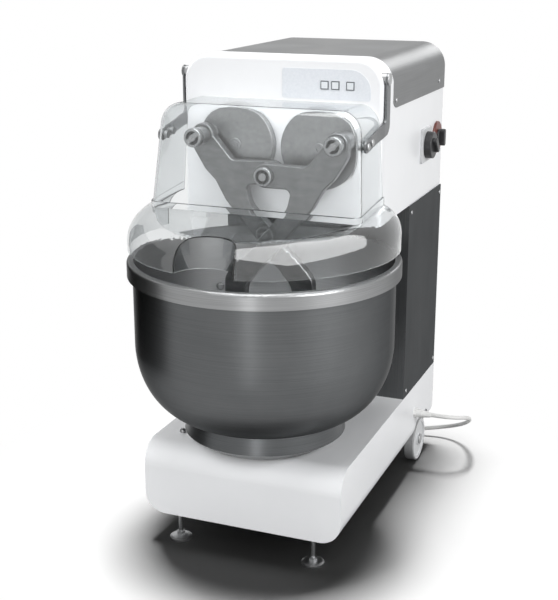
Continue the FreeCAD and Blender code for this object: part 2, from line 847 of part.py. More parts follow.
def bowl_reducer():
    """Closed worm reducer under the bowl, with a hollow output for the bowl's shaft."""
    high = floor_plate_high + reducer_height
    body = box(-reducer_half_x, reducer_half_x, bowl_y - reducer_half_y, bowl_y + reducer_half_y,
               floor_plate_high, high)
    body = round_edges(body, 8, lambda edge: edge.BoundBox.ZLength > reducer_height - 1)
    shaft = rod_z(bowl_shaft_radius + fit_gap, floor_plate_high + 20, high, 0, bowl_y)
    nose_y = bowl_y + reducer_half_y
    nose = rod_y(input_shaft_radius + 10, nose_y, nose_y + 12, input_x, input_z)
    bore = rod_y(input_shaft_radius + fit_gap, nose_y - 40, nose_y + 12, input_x, input_z)
    return cut_all(body.fuse(nose).removeSplitter(), [shaft, bore])


def reducer_pulley():
    """Input shaft of the reducer with its pulley under the column."""
    end_y = bowl_belt_y + belt_width + 2 * seat_gap + pulley_flange
    shaft = rod_y(input_shaft_radius, bowl_y + reducer_half_y - 38, end_y, input_x, input_z)
    pulley = belt_pulley(input_x, input_z, reducer_pulley_radius, bowl_belt_y, 0)
    return fuse_all([shaft, pulley])


def electrical_box():
    x = motor_radius + 24
    face = rectangle(x, x + box_width, motor_front, motor_front + box_depth, 6, in_xy)
    return extrude_z(face, shelf_top, shelf_top + box_height)


def bowl_bearing_housing():
    """Flanged bearing housing that carries the turntable on the base."""
    top = bowl_bottom - turntable_wall - seat_gap
    flange_top = base_top + 12
    flange = rod_z(bearing_flange_radius, base_top, flange_top, 0, bowl_y)
    tower = rod_z(bearing_spigot_radius, base_top - bearing_spigot_drop, top, 0, bowl_y)
    bore = rod_z(bowl_shaft_radius + fit_gap, base_top - bearing_spigot_drop, top, 0, bowl_y)
    return flange.fuse(tower).removeSplitter().cut(bore)


def bowl_turntable():
    """Conical support ring, its top plate and the bowl's shaft, turned as one piece."""
    low = base_top + turntable_lift
    foot = bowl_flat_radius - turntable_foot_inset
    belt = bowl_flat_radius + turntable_belt_outset
    top = bowl_flat_radius + turntable_top_outset
    wall = turntable_wall
    belt_z = base_top + turntable_belt_lift
    under = bowl_bottom - wall
    shaft = bowl_shaft_radius
    shaft_end = floor_plate_high + 22
    points = [V(0, 0, shaft_end), V(shaft, 0, shaft_end), V(shaft, 0, under), V(top - wall, 0, under),
              V(belt - wall, 0, belt_z), V(foot - wall, 0, low), V(foot, 0, low), V(belt, 0, belt_z),
              V(top, 0, bowl_bottom), V(0, 0, bowl_bottom), V(0, 0, shaft_end)]
    return revolve_z(polyline(points), 0, bowl_y)


def bowl_side(inset):
    """Quarter ellipse from the bowl's flat bottom up to its straight wall, drawn in by a wall."""
    half_x = bowl_radius - bowl_flat_radius - inset
    half_z = bowl_round_height - inset
    tall = half_z > half_x
    long, short = max(half_x, half_z), min(half_x, half_z)
    ellipse = Part.Ellipse(V(0, 0, 0), long, short)
    ellipse.Axis = V(0, -1, 0)
    ellipse.XAxis = V(0, 0, -1) if tall else V(1, 0, 0)
    ellipse.Center = V(bowl_flat_radius, 0, round_top)
    bottom = V(bowl_flat_radius, 0, round_top - half_z)
    wall = V(bowl_flat_radius + half_x, 0, round_top)
    a, b = ellipse.parameter(bottom), ellipse.parameter(wall)
    if b < a:
        b += 2 * math.pi
    arc = ellipse.toShape(a, b) if b - a < math.pi else ellipse.toShape(b, a + 2 * math.pi)
    return arc, bottom, wall


def bowl_shell():
    """Spun steel bowl with a turned-down rim."""
    outer, outer_bottom, outer_wall = bowl_side(0)
    inner, inner_bottom, inner_wall = bowl_side(bowl_wall)
    band_low = rim_top - rim_band
    edge = rim_edge_round
    thin = edge - bowl_wall
    bend = math.sqrt(0.5)
    inside = bowl_radius - bowl_wall
    edges = [outer, inner]
    edges += polyline([outer_bottom, V(0, 0, outer_bottom.z), V(0, 0, inner_bottom.z), inner_bottom])
    under = rim_top - bowl_wall
    edges += polyline([outer_wall, V(bowl_radius, 0, under), V(rim_radius - edge, 0, under)])
    middle = V(rim_radius - edge + thin * bend, 0, rim_top - edge + thin * bend)
    edges.append(Part.Arc(V(rim_radius - edge, 0, under), middle,
                          V(rim_radius - bowl_wall, 0, rim_top - edge)).toShape())
    edges += polyline([V(rim_radius - bowl_wall, 0, rim_top - edge), V(rim_radius - bowl_wall, 0, band_low),
                       V(rim_radius, 0, band_low), V(rim_radius, 0, rim_top - edge)])
    middle = V(rim_radius - edge + edge * bend, 0, rim_top - edge + edge * bend)
    edges.append(Part.Arc(V(rim_radius, 0, rim_top - edge), middle,
                          V(rim_radius - edge, 0, rim_top)).toShape())
    edges += polyline([V(rim_radius - edge, 0, rim_top), V(inside, 0, rim_top), inner_wall])
    return revolve_z(edges, 0, bowl_y)


def shield_box(inset):
    """Upper hood of the shield, drawn in by a wall: leaning front and sides, rounded edges."""
    top = shield_top - inset
    crown = top + shield_crown
    low = dome_top_z - dome_round
    rise = shield_top - shield_ledge_z
    side_lean = (shield_ledge_half - shield_top_half) / rise
    front_lean = (shield_front_top - shield_front_ledge) / rise
    low_half = shield_ledge_half + side_lean * (shield_ledge_z - low) - inset
    low_front = shield_front_ledge - front_lean * (shield_ledge_z - low) + inset
    rear = shield_back + 20
    side_round = shield_side_round - inset
    front_round = shield_front_round - inset
    across = [(-low_half, low, 0), (low_half, low, 0), (shield_top_half - inset, crown, side_round),
              (-shield_top_half + inset, crown, side_round)]
    along = [(low_front, low, 0), (rear, low, 0), (rear, crown, 0),
             (shield_front_top + inset, crown, front_round)]
    hood = extrude_y(outline(across, in_xz), low_front, rear)
    hood = hood.common(extrude_x(outline(along, in_yz), -low_half, low_half))
    hood = hood.common(box(-low_half, low_half, low_front, rear, low, top))
    return round_edges(hood, shield_corner_round - inset,
                       lambda edge: edge.BoundBox.ZLength > 100 and edge.BoundBox.YMax < shield_front_top + 9)


def tilted(shape):
    """Turns a level shape to the fall of the dome's top."""
    shape.rotate(V(0, bowl_y, dome_top_z), V(1, 0, 0), math.degrees(math.atan(dome_fall)))
    return shape


def shield_rib():
    """Raised ledge round the foot of the hood."""
    half = shield_ledge_half + 2
    ledge = rectangle(-half, half, shield_front_ledge - 4, shield_back + 20, shield_corner_round + 2, in_xy)
    return tilted(extrude_z(ledge, dome_top_z - shield_ledge / 2, dome_top_z + shield_ledge / 2))


def shield_dome(inset):
    """Dome over the bowl, drawn in by a wall: upright skirt, large round edge, top falling to the front."""
    reach = 2 * dome_radius
    low = dome_foot_z - dome_round
    body = rod_z(dome_radius - inset, low, shield_top, 0, bowl_y)
    above = tilted(box(-reach, reach, bowl_y - reach, bowl_y + reach, dome_top_z, shield_top + dome_round))
    body = body.cut(above.translated(V(0, 0, -inset)))
    return round_edges(body, dome_round - inset,
                       lambda edge: edge.isClosed() and edge.BoundBox.ZMin > low + dome_round)


def shield_shell():
    """Clear moulded shield: hood, ledge and dome in one wall, open behind and below."""
    low = dome_foot_z - 2 * dome_round
    reach = 2 * rim_radius
    high = shield_top + shield_wall
    behind = box(-reach, reach, shield_back, reach, low, high)
    below = box(-reach, reach, -reach, reach, low, dome_foot_z)
    recess = rod_z(recess_radius, low, high, recess_x, recess_y)
    recess_wall = rod_z(recess_radius + shield_wall, low, high, recess_x, recess_y)
    outside = cut_all(shield_dome(0), [behind, recess, below])
    outside = outside.fuse(shield_box(0).cut(behind)).fuse(shield_rib().cut(behind))
    shell = outside.cut(shield_dome(shield_wall).cut(recess_wall)).cut(shield_box(shield_wall))
    bolts = []
    for y, z in strap_bolt_spots():
        bolts += both_sides(rod_x(strap_bolt_radius + fit_gap, 0, strap_outer, y, z))
    return cut_all(shell.removeSplitter(), bolts)


def strap_bolt_spots():
    lean = (strap_end_z - strap_knee_z) / (strap_end_y - hinge_y)
    near = strap_end_y + strap_width / 2 + 2
    spots = []
    for step in (0, strap_bolt_pitch):
        y = near + step
        spots.append((y, strap_end_z + lean * (y - strap_end_y)))
    return spots


def shield_straps():
    """Flat steel straps from the hinge bosses, cranked inwards to the sides of the shield."""
    half = strap_width / 2
    upright = [(hinge_y - half, hinge_z + half, half - 0.5), (hinge_y + half, hinge_z + half, half - 0.5),
               (hinge_y + half, strap_knee_z - half, half * 2), (strap_end_y, strap_end_z - half, half - 0.5),
               (strap_end_y, strap_end_z + half, half - 0.5), (hinge_y - half, strap_knee_z + half, half)]
    flat = extrude_x(outline(upright, in_yz), strap_inner - strap_joggle, strap_outer)
    start = head_front - 4
    end = start - 44
    rear = hinge_y + strap_width
    front = strap_end_y - strap_width
    bend = [(strap_inner, rear, 0), (strap_outer, rear, 0), (strap_outer, start, 12),
            (strap_outer - strap_joggle, end, 12), (strap_outer - strap_joggle, front, 0),
            (strap_inner - strap_joggle, front, 0), (strap_inner - strap_joggle, end, 12),
            (strap_inner, start, 12)]
    strap = flat.common(extrude_z(outline(bend, in_xy), 0, head_top))
    holes = [rod_x(hinge_pin_radius + fit_gap, 0, strap_outer, hinge_y, hinge_z)]
    for y, z in strap_bolt_spots():
        holes.append(rod_x(strap_bolt_radius + fit_gap, 0, strap_outer, y, z))
    return both_sides(cut_all(strap, holes))


def strap_screws():
    """Screws that hold the straps to the shield, each with a washer pillar and an inside nut."""
    lean = (shield_ledge_half - shield_top_half) / (shield_top - shield_ledge_z)
    outer = strap_outer - strap_joggle
    inner = strap_inner - strap_joggle
    screws = []
    for y, z in strap_bolt_spots():
        wall = shield_top_half + lean * (shield_top - z)
        reach = lean * (strap_nut_radius + 1)
        end = outer + strap_bolt_head
        head = rod_x(strap_bolt_head_radius, outer, end, y, z)
        head = round_edges(head, strap_bolt_head / 2, lambda edge: edge.BoundBox.XMin > end - 0.01)
        nut_end = wall - shield_wall - strap_nut
        shank = rod_x(strap_bolt_radius, nut_end, outer, y, z)
        pillar = rod_x(strap_nut_radius, wall + reach, inner, y, z)
        nut = rod_x(strap_nut_radius, nut_end, wall - shield_wall - reach, y, z)
        screws += both_sides(fuse_all([head, shank, pillar, nut]))
    return screws


def shield_hinge_pins():
    """Shouldered bosses in the sides of the front cover that the straps swing on."""
    inner = head_half_width - front_cover_wall - 5
    shoulder = strap_inner - seat_gap
    boss = rod_x(hinge_boss_radius, inner, shoulder, hinge_y, hinge_z)
    pin = rod_x(hinge_pin_radius, shoulder, strap_outer + seat_gap, hinge_y, hinge_z)
    head_end = strap_outer + seat_gap + hinge_head
    head = rod_x(hinge_head_radius, strap_outer + seat_gap, head_end, hinge_y, hinge_z)
    head = round_edges(head, 2.0, lambda edge: edge.BoundBox.XMin > head_end - 0.01)
    return both_sides(fuse_all([boss, pin, head]))


def switch_plate():
    half = switch_plate_side / 2
    face = rectangle(switch_y - half, switch_y + half, switch_z - half, switch_z + half, 5, in_yz)
    plate = extrude_x(face, casing_half_width, switch_face)
    plate = round_edges(plate, 1.5, lambda edge: edge.BoundBox.XMin > switch_face - 0.01)
    return plate.cut(rod_x(knob_stem_radius + fit_gap, casing_half_width, switch_face, switch_y, switch_z))


def selector_bezel():
    bezel = rod_x(bezel_radius, casing_half_width, switch_face, selector_y, selector_z)
    bezel = round_edges(bezel, 3.0, lambda edge: edge.BoundBox.XMin > switch_face - 0.01)
    return bezel.cut(rod_x(knob_stem_radius + fit_gap, casing_half_width, switch_face, selector_y, selector_z))


def rotary_knob(y, z, radius, base, grip_height, angle):
    """Rotary knob: stem, round skirt and a grip bar across it, turned by an angle from upright."""
    start = switch_face + seat_gap
    top = start + base
    end = top + grip_height
    stem = rod_x(knob_stem_radius, casing_half_width - sheet - 4, start, y, z)
    skirt = rod_x(radius, start, top, y, z)
    skirt = round_edges(skirt, 2.5, lambda edge: edge.BoundBox.XMin > top - 0.01)
    half_w = knob_grip_width / 2
    half_l = knob_grip_length / 2
    face = rectangle(y - half_w, y + half_w, z - half_l, z + half_l, half_w - 1, in_yz)
    grip = extrude_x(face, top, end)
    grip = round_edges(grip, 2.0, lambda edge: edge.BoundBox.XMin > end - 0.01)
    grip.rotate(V(0, y, z), V(1, 0, 0), angle)
    return fuse_all([stem, skirt, grip])


def levelling_foot(side):
    """Screw foot: round pad, nut and threaded stem."""
    x = side * foot_x
    pad = foot_pad_radius
    top = foot_pad_height
    neck = foot_stem_radius + 3
    points = [V(0, 0, 0), V(pad - 2, 0, 0), V(pad, 0, 2), V(pad, 0, top * 0.6), V(pad - 4, 0, top * 0.8),
              V(neck, 0, top), V(0, 0, top), V(0, 0, 0)]
    disc = revolve_z(polyline(points), x, foot_y)
    corners = [V(foot_nut_radius * math.cos(math.radians(60 * i)) + x,
                 foot_nut_radius * math.sin(math.radians(60 * i)) + foot_y, top) for i in range(7)]
    nut = Part.Face(Part.makePolygon(corners)).extrude(V(0, 0, foot_nut_height))
    stem = rod_z(foot_stem_radius, top, floor_plate_high + foot_boss_height + 6, x, foot_y)
    return fuse_all([disc, nut, stem])


def rear_wheel(side):
    """Wheel with a dished face, turning on the fixed axle."""
    disc = rod_x(wheel_radius, wheel_inner, wheel_outer, wheel_y, wheel_radius)
    disc = round_edges(disc, 4.0, lambda edge: edge.Curve.TypeId == "Part::GeomCircle")
    hub = rod_x(wheel_hub_radius, bracket_x + bracket_thickness + seat_gap, wheel_outer, wheel_y, wheel_radius)
    dish = rod_x(wheel_face_radius, wheel_outer - 3, wheel_outer, wheel_y, wheel_radius)
    dish = dish.cut(rod_x(wheel_hub_radius + 4, wheel_outer - 3, wheel_outer, wheel_y, wheel_radius))
    wheel = disc.fuse(hub).removeSplitter().cut(dish)
    wheel = wheel.cut(rod_x(axle_radius + fit_gap, 0, body_half_width, wheel_y, wheel_radius))
    return wheel if side > 0 else mirrored(wheel)


def rear_axle():
    axle = rod_x(axle_radius, -wheel_outer - seat_gap, wheel_outer + seat_gap, wheel_y, wheel_radius)
    head = rod_x(axle_head_radius, wheel_outer + seat_gap, axle_outer, wheel_y, wheel_radius)
    head = round_edges(head, 1.5, lambda edge: edge.BoundBox.XMin > axle_outer - 0.01)
    return fuse_all([axle] + both_sides(head))


def axle_brackets():
    """Angle brackets under the base that hold the wheel axle."""
    front = wheel_y - bracket_reach
    rear = wheel_y + bracket_reach
    outer = bracket_x + bracket_thickness
    plate = box(bracket_x, outer, front, rear, wheel_radius - bracket_drop, base_bottom)
    flange = box(bracket_x - bracket_flange, outer, front, rear, base_bottom - bracket_thickness, base_bottom)
    bore = rod_x(axle_radius + fit_gap, 0, body_half_width, wheel_y, wheel_radius)
    return both_sides(fuse_all([plate, flange]).cut(bore))


def cable_gland():
    """Tapered gland with a hexagonal nut, on the right side of the base."""
    nut_end = body_half_width + gland_flange
    corners = []
    for i in range(7):
        turn = math.radians(60 * i)
        corners.append(V(body_half_width, gland_y + gland_flange_radius * math.cos(turn),
                         gland_z + gland_flange_radius * math.sin(turn)))
    nut = Part.Face(Part.makePolygon(corners)).extrude(V(gland_flange, 0, 0))
    dome_end = nut_end + 14
    dome = rod_x(gland_flange_radius - 2.5, nut_end, dome_end, gland_y, gland_z)
    taper = Part.makeCone(gland_flange_radius - 3.5, cord_radius + 1.2, gland_end - dome_end,
                          V(dome_end, gland_y, gland_z), V(1, 0, 0))
    return fuse_all([nut, dome, taper])


def cord_route():
    """Points of the lead from the gland, round the rear corner, down to the coil on the floor."""
    start = coil_turn_point(0)
    return [
        V(gland_end + fit_gap, gland_y, gland_z),
        V(gland_end + 32, gland_y, gland_z),
        V(gland_end + 60, gland_y + 15, gland_z - 4),
        V(gland_end + 76, gland_y + 42, gland_z - 12),
        V(gland_end + 78, gland_y + 88, gland_z - 30),
        V(gland_end + 66, gland_y + 146, gland_z - 62),
        V(gland_end + 34, gland_y + 200, gland_z - 98),
        V(gland_end - 22, gland_y + 230, gland_z - 126),
        V(start.x + 140, start.y + 14, cord_radius + 7),
        V(start.x + 70, start.y + 1, coil_low_z + 0.4),
        V(start.x, start.y, start.z),
    ]


def cord_tube(points):
    """Round tube along straight runs joined by tangent arcs as large as the runs allow."""
    edges = []
    last = points[0]
    radii = []
    for before, here, after in zip(points, points[1:], points[2:]):
        back = before - here
        ahead = after - here
        run = min(back.Length, ahead.Length)
        back.normalize()
        ahead.normalize()
        half = back.getAngle(ahead) / 2
        radius = 0.45 * run * math.tan(half)
        start = here + back * (0.45 * run)
        end = here + ahead * (0.45 * run)
        middle = here + (back + ahead).normalize() * (radius / math.sin(half) - radius)
        edges.append(Part.LineSegment(last, start).toShape())
        edges.append(Part.Arc(start, middle, end).toShape())
        radii.append(round(radius))
        last = end
    edges.append(Part.LineSegment(last, points[-1]).toShape())
    path = Part.Wire(edges)
    heading = points[1] - points[0]
    ring = Part.Wire(Part.Circle(points[0], heading, cord_radius).toShape())
    tube = path.makePipeShell([ring], True, False)
    print("cord radii", radii, "length", round(path.Length), "volume ratio",
          round(tube.Volume / (math.pi * cord_radius ** 2 * path.Length), 4))
    return tube


def coil_turn_point(turn):
    """Point of the coil's middle line: spirals in on the lower layer, climbs, spirals out on the upper."""
    reversal = coil_turns + 0.25
    radius = coil_outer_radius - coil_step * (reversal - abs(turn - reversal))
    share = min(max((turn - coil_turns) / 0.5, 0), 1)
    z = coil_low_z + coil_step * (1 - math.cos(math.pi * share)) / 2
    angle = math.radians(-90) - 2 * math.pi * turn
    return V(coil_x + radius * math.cos(angle), coil_y + radius * math.sin(angle), z)


def coil_heading(turn):
    """Direction of the coil's middle line, flat where one layer meets the climb."""
    step = 1e-4
    low = max(turn - step, 0)
    high = min(turn + step, 2 * coil_turns + 0.5)
    return (coil_turn_point(high) - coil_turn_point(low)).normalize()


def arc_from(start, heading, end):
    """Arc that leaves start along heading and ends at end."""
    chord = end - start
    side = chord - heading * chord.dot(heading)
    if side.Length < 1e-6:
        return Part.LineSegment(start, end).toShape()
    side.normalize()
    radius = chord.dot(chord) / (2 * chord.dot(side))
    centre = start + side * radius
    middle = (start + end) * 0.5 - centre
    return Part.Arc(start, centre + middle.normalize() * radius, end).toShape()


def cord_coil():
    """Put-away coil of the lead, one tube on pairs of arcs, with a straight end for the plug."""
    edges = []
    quarters = int(4 * (2 * coil_turns + 0.5))
    for i in range(quarters):
        start, end = coil_turn_point(i / 4), coil_turn_point((i + 1) / 4)
        leave, arrive = coil_heading(i / 4), coil_heading((i + 1) / 4)
        chord = end - start
        both = leave + arrive
        spread = 2 * (1 - leave.dot(arrive))
        reach = (math.sqrt(chord.dot(both) ** 2 + spread * chord.dot(chord)) - chord.dot(both)) / spread
        joint = (start + end + (leave - arrive) * reach) * 0.5
        edges.append(arc_from(start, leave, joint))
        edges.append(arc_from(end, arrive * -1, joint))
    last = coil_turn_point(2 * coil_turns + 0.5)
    heading = coil_heading(2 * coil_turns + 0.5)
    edges.append(Part.LineSegment(last, last + heading * 2 * cord_radius).toShape())
    path = Part.Wire(Part.__sortEdges__(edges))
    ring = Part.Wire(Part.Circle(coil_turn_point(0), coil_heading(0), cord_radius).toShape())
    tube = path.makePipeShell([ring], True, False)
    samples = [coil_turn_point(i / 48) for i in range(12 * quarters + 1)]
    least = min((samples[i] - samples[j]).Length - 2 * cord_radius
                for i in range(len(samples)) for j in range(i + 24, len(samples)))
    print("coil length", round(path.Length), "least gap to itself", round(least, 2), "volume ratio",
          round(tube.Volume / (math.pi * cord_radius ** 2 * path.Length), 4))
    return tube


def cord_tie():
    """Flat tie round the bundle on the far side of the coil."""
    low = coil_lift - seat_gap
    high = coil_high_z + cord_radius + seat_gap
    inner = coil_inner_radius - cord_radius - seat_gap
    outer = coil_outer_radius + cord_radius + seat_gap
    grow = tie_thickness
    y = coil_y
    band = box(coil_x - tie_width / 2, coil_x + tie_width / 2, y + inner - grow, y + outer + grow,
               low - grow, high + grow)
    hole = box(coil_x - tie_width / 2, coil_x + tie_width / 2, y + inner, y + outer, low, high)
    return band.cut(hole)


def cord_plug():
    """Plain mains plug on the end of the lead, lying on the floor."""
    turn = 2 * coil_turns + 0.5
    heading = coil_heading(turn)
    start = coil_turn_point(turn) + heading * 2 * cord_radius
    radius = coil_high_z - 0.2
    sleeve_end = start + heading * (plug_length * 0.45)
    sleeve = Part.makeCone(cord_radius + 2, radius * 0.62, plug_length * 0.45, start, heading)
    body_end = start + heading * plug_length
    body = rod(radius, sleeve_end, body_end)
    body = round_edges(body, 3.0, lambda edge: edge.Curve.TypeId == "Part::GeomCircle")
    across = heading.cross(V(0, 0, 1)).normalize()
    pins = []
    for side in (-1, 1):
        foot = body_end + across * (side * plug_pin_spacing / 2)
        pins.append(rod(plug_pin_radius, foot - heading * 4, foot + heading * plug_pin_length))
    return fuse_all([sleeve, body] + pins)


save("base_shell", [base_shell()])
save("base_floor_plate", [base_floor_plate()])
save("column_frame", [column_frame()])
save("column_cover", [column_cover()])
save("rear_cover", [rear_cover()])
save("head_casing", [head_casing()])
save("head_front_cover", [head_front_cover()])
save("head_top_cover", [head_top_cover()])
save("control_panel_film", [control_panel_film()])
for key_name, key_x in zip(("start_key", "speed_key", "stop_key"), key_centres):
    save(key_name, [key(key_x)])
save("bearing_plates", bearing_plates())
save("crank_bearings", crank_bearings())
save("cover_screws", cover_screws())
save("bowl_shell", [bowl_shell()])
save("bowl_turntable", [bowl_turntable()])
save("bowl_bearing_housing", [bowl_bearing_housing()])
save("bowl_reducer", [bowl_reducer()])
save("reducer_pulley", [reducer_pulley()])
save("drive_motor", [drive_motor()])
save("motor_pulley", [motor_pulley()])
save("electrical_box", [electrical_box()])
arm_belt_ends = (-crank_x, crank_z, crank_pulley_radius), (0, motor_z, motor_pulley_radius)
save("arm_drive_belt", [belt_loop(*arm_belt_ends, arm_belt_y)])
bowl_belt_ends = (0, motor_z, motor_pulley_radius), (input_x, input_z, reducer_pulley_radius)
save("bowl_drive_belt", [belt_loop(*bowl_belt_ends, bowl_belt_y)])
left_shaft_end = arm_belt_y + belt_width + pulley_flange + 6
right_shaft_end = rear_plate_y + plate_thickness + 10
save("crank_shaft_left", [crank_shaft(-1, left_shaft_end, 0)])
save("crank_shaft_right", [crank_shaft(1, right_shaft_end, 0.5)])
save("crank_pulley", [crank_pulley()])
for side_name, side_sign, layer in (("left", -1, (rear_arm_front, rear_arm_back)),
                                    ("right", 1, (front_arm_front, front_arm_back))):
    save("crank_disc_" + side_name, [crank_disc(side_sign)])
    save("disc_bolt_" + side_name, [disc_bolt(side_sign)])
    save("crank_pin_" + side_name, [crank_pin(side_sign, layer[1], layer[0])])
    save("pin_cap_" + side_name, [pin_cap(side_sign)])
    save("arm_bush_" + side_name, [arm_bush(side_sign, *layer)])
    save("wheel_" + side_name, [rear_wheel(side_sign)])
    save("foot_" + side_name, [levelling_foot(side_sign)])
forked_arm = mixing_arm(rear_arm_front, rear_arm_back).cut(fork_slot(rear_arm_front, rear_arm_back))
save("mixing_arm_left", [mirrored(forked_arm)])
save("mixing_arm_right", [mixing_arm(front_arm_front, front_arm_back)])
save("pivot_cap", [pivot_cap()])
save("shield_shell", [shield_shell()])
save("shield_straps", shield_straps())
save("strap_screws", strap_screws())
save("shield_hinge_pins", shield_hinge_pins())
save("switch_plate", [switch_plate()])
save("selector_bezel", [selector_bezel()])
main_knob_sizes = switch_disc_radius, switch_knob_base, switch_knob_grip
save("main_switch_knob", [rotary_knob(switch_y, switch_z, *main_knob_sizes, 40)])
selector_knob_sizes = selector_hub_radius, selector_knob_base, selector_knob_grip
save("speed_selector_knob", [rotary_knob(selector_y, selector_z, *selector_knob_sizes, 0)])
save("rear_axle", [rear_axle()])
save("axle_brackets", axle_brackets())
save("cable_gland", [cable_gland()])
save("cord_free", [cord_tube(cord_route())])
save("cord_coil", [cord_coil()])
save("cord_tie", [cord_tie()])
save("cord_plug", [cord_plug()])
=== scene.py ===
import math

import bpy
from mathutils import Matrix, Vector


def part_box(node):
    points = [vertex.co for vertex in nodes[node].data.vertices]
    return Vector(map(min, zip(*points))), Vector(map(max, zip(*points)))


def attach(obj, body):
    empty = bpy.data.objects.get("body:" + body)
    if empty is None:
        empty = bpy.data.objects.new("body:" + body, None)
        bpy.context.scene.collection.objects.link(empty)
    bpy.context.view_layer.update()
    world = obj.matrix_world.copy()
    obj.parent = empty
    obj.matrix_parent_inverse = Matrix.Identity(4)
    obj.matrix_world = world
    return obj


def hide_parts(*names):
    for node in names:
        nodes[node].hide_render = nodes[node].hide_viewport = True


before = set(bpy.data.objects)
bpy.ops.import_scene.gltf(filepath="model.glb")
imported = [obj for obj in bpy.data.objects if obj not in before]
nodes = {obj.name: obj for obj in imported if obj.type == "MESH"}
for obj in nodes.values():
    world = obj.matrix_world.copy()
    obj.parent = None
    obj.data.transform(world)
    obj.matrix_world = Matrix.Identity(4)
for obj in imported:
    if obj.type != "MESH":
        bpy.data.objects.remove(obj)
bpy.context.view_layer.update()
scene = bpy.context.scene
scene.view_settings.view_transform = "Standard"

# The photographer's camera stands at chest height, right of the machine's front,
# on a short telephoto lens that looks a little down.
camera_place = (0.9204, -2.3744, 1.2638)
to_right = Vector((0.92849, 0.37137, 0.0))
to_top = Vector((-0.10734, 0.26836, 0.95733))
to_back = Vector((0.35552, -0.88886, 0.28903))
camera_data = bpy.data.cameras.new("studio_camera")
camera_data.sensor_width = 36.0
camera_data.lens = 70.494
camera_data.clip_end = 50.0
camera = bpy.data.objects.new("studio_camera", camera_data)
scene.collection.objects.link(camera)
turned = Matrix((to_right, to_top, to_back)).transposed().to_4x4()
camera.matrix_world = Matrix.Translation(camera_place) @ turned
scene.camera = camera


# The mains lead is a round white sheath over three cores. It leaves the gland on the right,
# drops round the rear corner, and its spare length is coiled and tied on the floor behind.
def node_tree(material):
    material.use_nodes = True
    tree = material.node_tree
    return tree, tree.nodes["Principled BSDF"]


def add_node(tree, kind, **values):
    """Adds a shader node and sets its sockets, or else its own properties, by name."""
    node = tree.nodes.new(kind)
    for name, value in values.items():
        if name in node.inputs:
            node.inputs[name].default_value = value
        else:
            setattr(node, name, value)
    return node


def object_pattern(tree, stretch):
    """Noise on the piece's own coordinates, stretched along the way the surface was worked."""
    place = add_node(tree, "ShaderNodeTexCoord")
    mapping = add_node(tree, "ShaderNodeMapping", Scale=stretch)
    tree.links.new(place.outputs["Object"], mapping.inputs["Vector"])
    noise = add_node(tree, "ShaderNodeTexNoise", Scale=1.0, Detail=4.0, Roughness=0.6)
    tree.links.new(mapping.outputs["Vector"], noise.inputs["Vector"])
    return noise.outputs["Fac"]


def colour_between(tree, pattern, dark, light):
    """Runs from the dark colour to the light one over the middle of a pattern's range."""
    ramp = add_node(tree, "ShaderNodeValToRGB")
    ends = ramp.color_ramp.elements
    for end, position, colour in zip(ends, (0.3, 0.7), (dark, light)):
        end.position = position
        end.color = (*colour, 1.0)
    tree.links.new(pattern, ramp.inputs["Fac"])
    return ramp.outputs["Color"]


def uneven_gloss(tree, shader, pattern, smoothest, roughest):
    spread = add_node(tree, "ShaderNodeMapRange")
    spread.inputs["To Min"].default_value = smoothest
    spread.inputs["To Max"].default_value = roughest
    tree.links.new(pattern, spread.inputs["Value"])
    tree.links.new(spread.outputs["Result"], shader.inputs["Roughness"])


def surface_bump(tree, shader, pattern, strength, depth):
    bump = add_node(tree, "ShaderNodeBump", Strength=strength, Distance=depth)
    tree.links.new(pattern, bump.inputs["Height"])
    tree.links.new(bump.outputs["Normal"], shader.inputs["Normal"])


def plastic(name, dark, light, rough, grain, bump=0.08):
    """Moulded plastic or rubber: fine grain, slight unevenness of colour and gloss."""
    material = bpy.data.materials.new(name)
    tree, shader = node_tree(material)
    pattern = object_pattern(tree, (grain, grain, grain))
    shader.inputs["IOR"].default_value = 1.48
    tree.links.new(colour_between(tree, pattern, dark, light), shader.inputs["Base Color"])
    uneven_gloss(tree, shader, pattern, *rough)
    surface_bump(tree, shader, pattern, bump, 0.0004)
    return material


def dress(name, material):
    """Gives a carried-over solid its finish."""
    mesh = nodes[name].data
    mesh.materials.clear()
    mesh.materials.append(material)


lead_radius = 0.005
gland_end = Vector((0.268, 0.266, 0.154))
gland_gap = Vector((0.00005, 0.0, 0.0))
coil_centre = Vector((0.0, 0.524))
coil_turns = 2
climb_turns = 0.5
all_turns = 2 * coil_turns + climb_turns
coil_step = 0.0106
coil_low = 0.0067
coil_middle = 0.055
coil_outer = coil_middle + coil_step
marks_a_turn = 24
mark_outset = 1.0086


def coil_mark(turn):
    """Control point of the coil: spirals in on the floor, climbs, spirals out on top of itself.

    The smooth line runs inside its control points, so these stand a little further out.
    """
    reversal = coil_turns + climb_turns / 2
    radius = mark_outset * (coil_outer - coil_step * (reversal - abs(turn - reversal)))
    share = min(max((turn - coil_turns) / climb_turns, 0.0), 1.0)
    height = coil_low + coil_step * (1 - math.cos(math.pi * share)) / 2
    angle = math.radians(-90) - 2 * math.pi * turn
    across = radius * math.cos(angle)
    along = radius * math.sin(angle)
    return Vector((coil_centre.x + across, coil_centre.y + along, height))


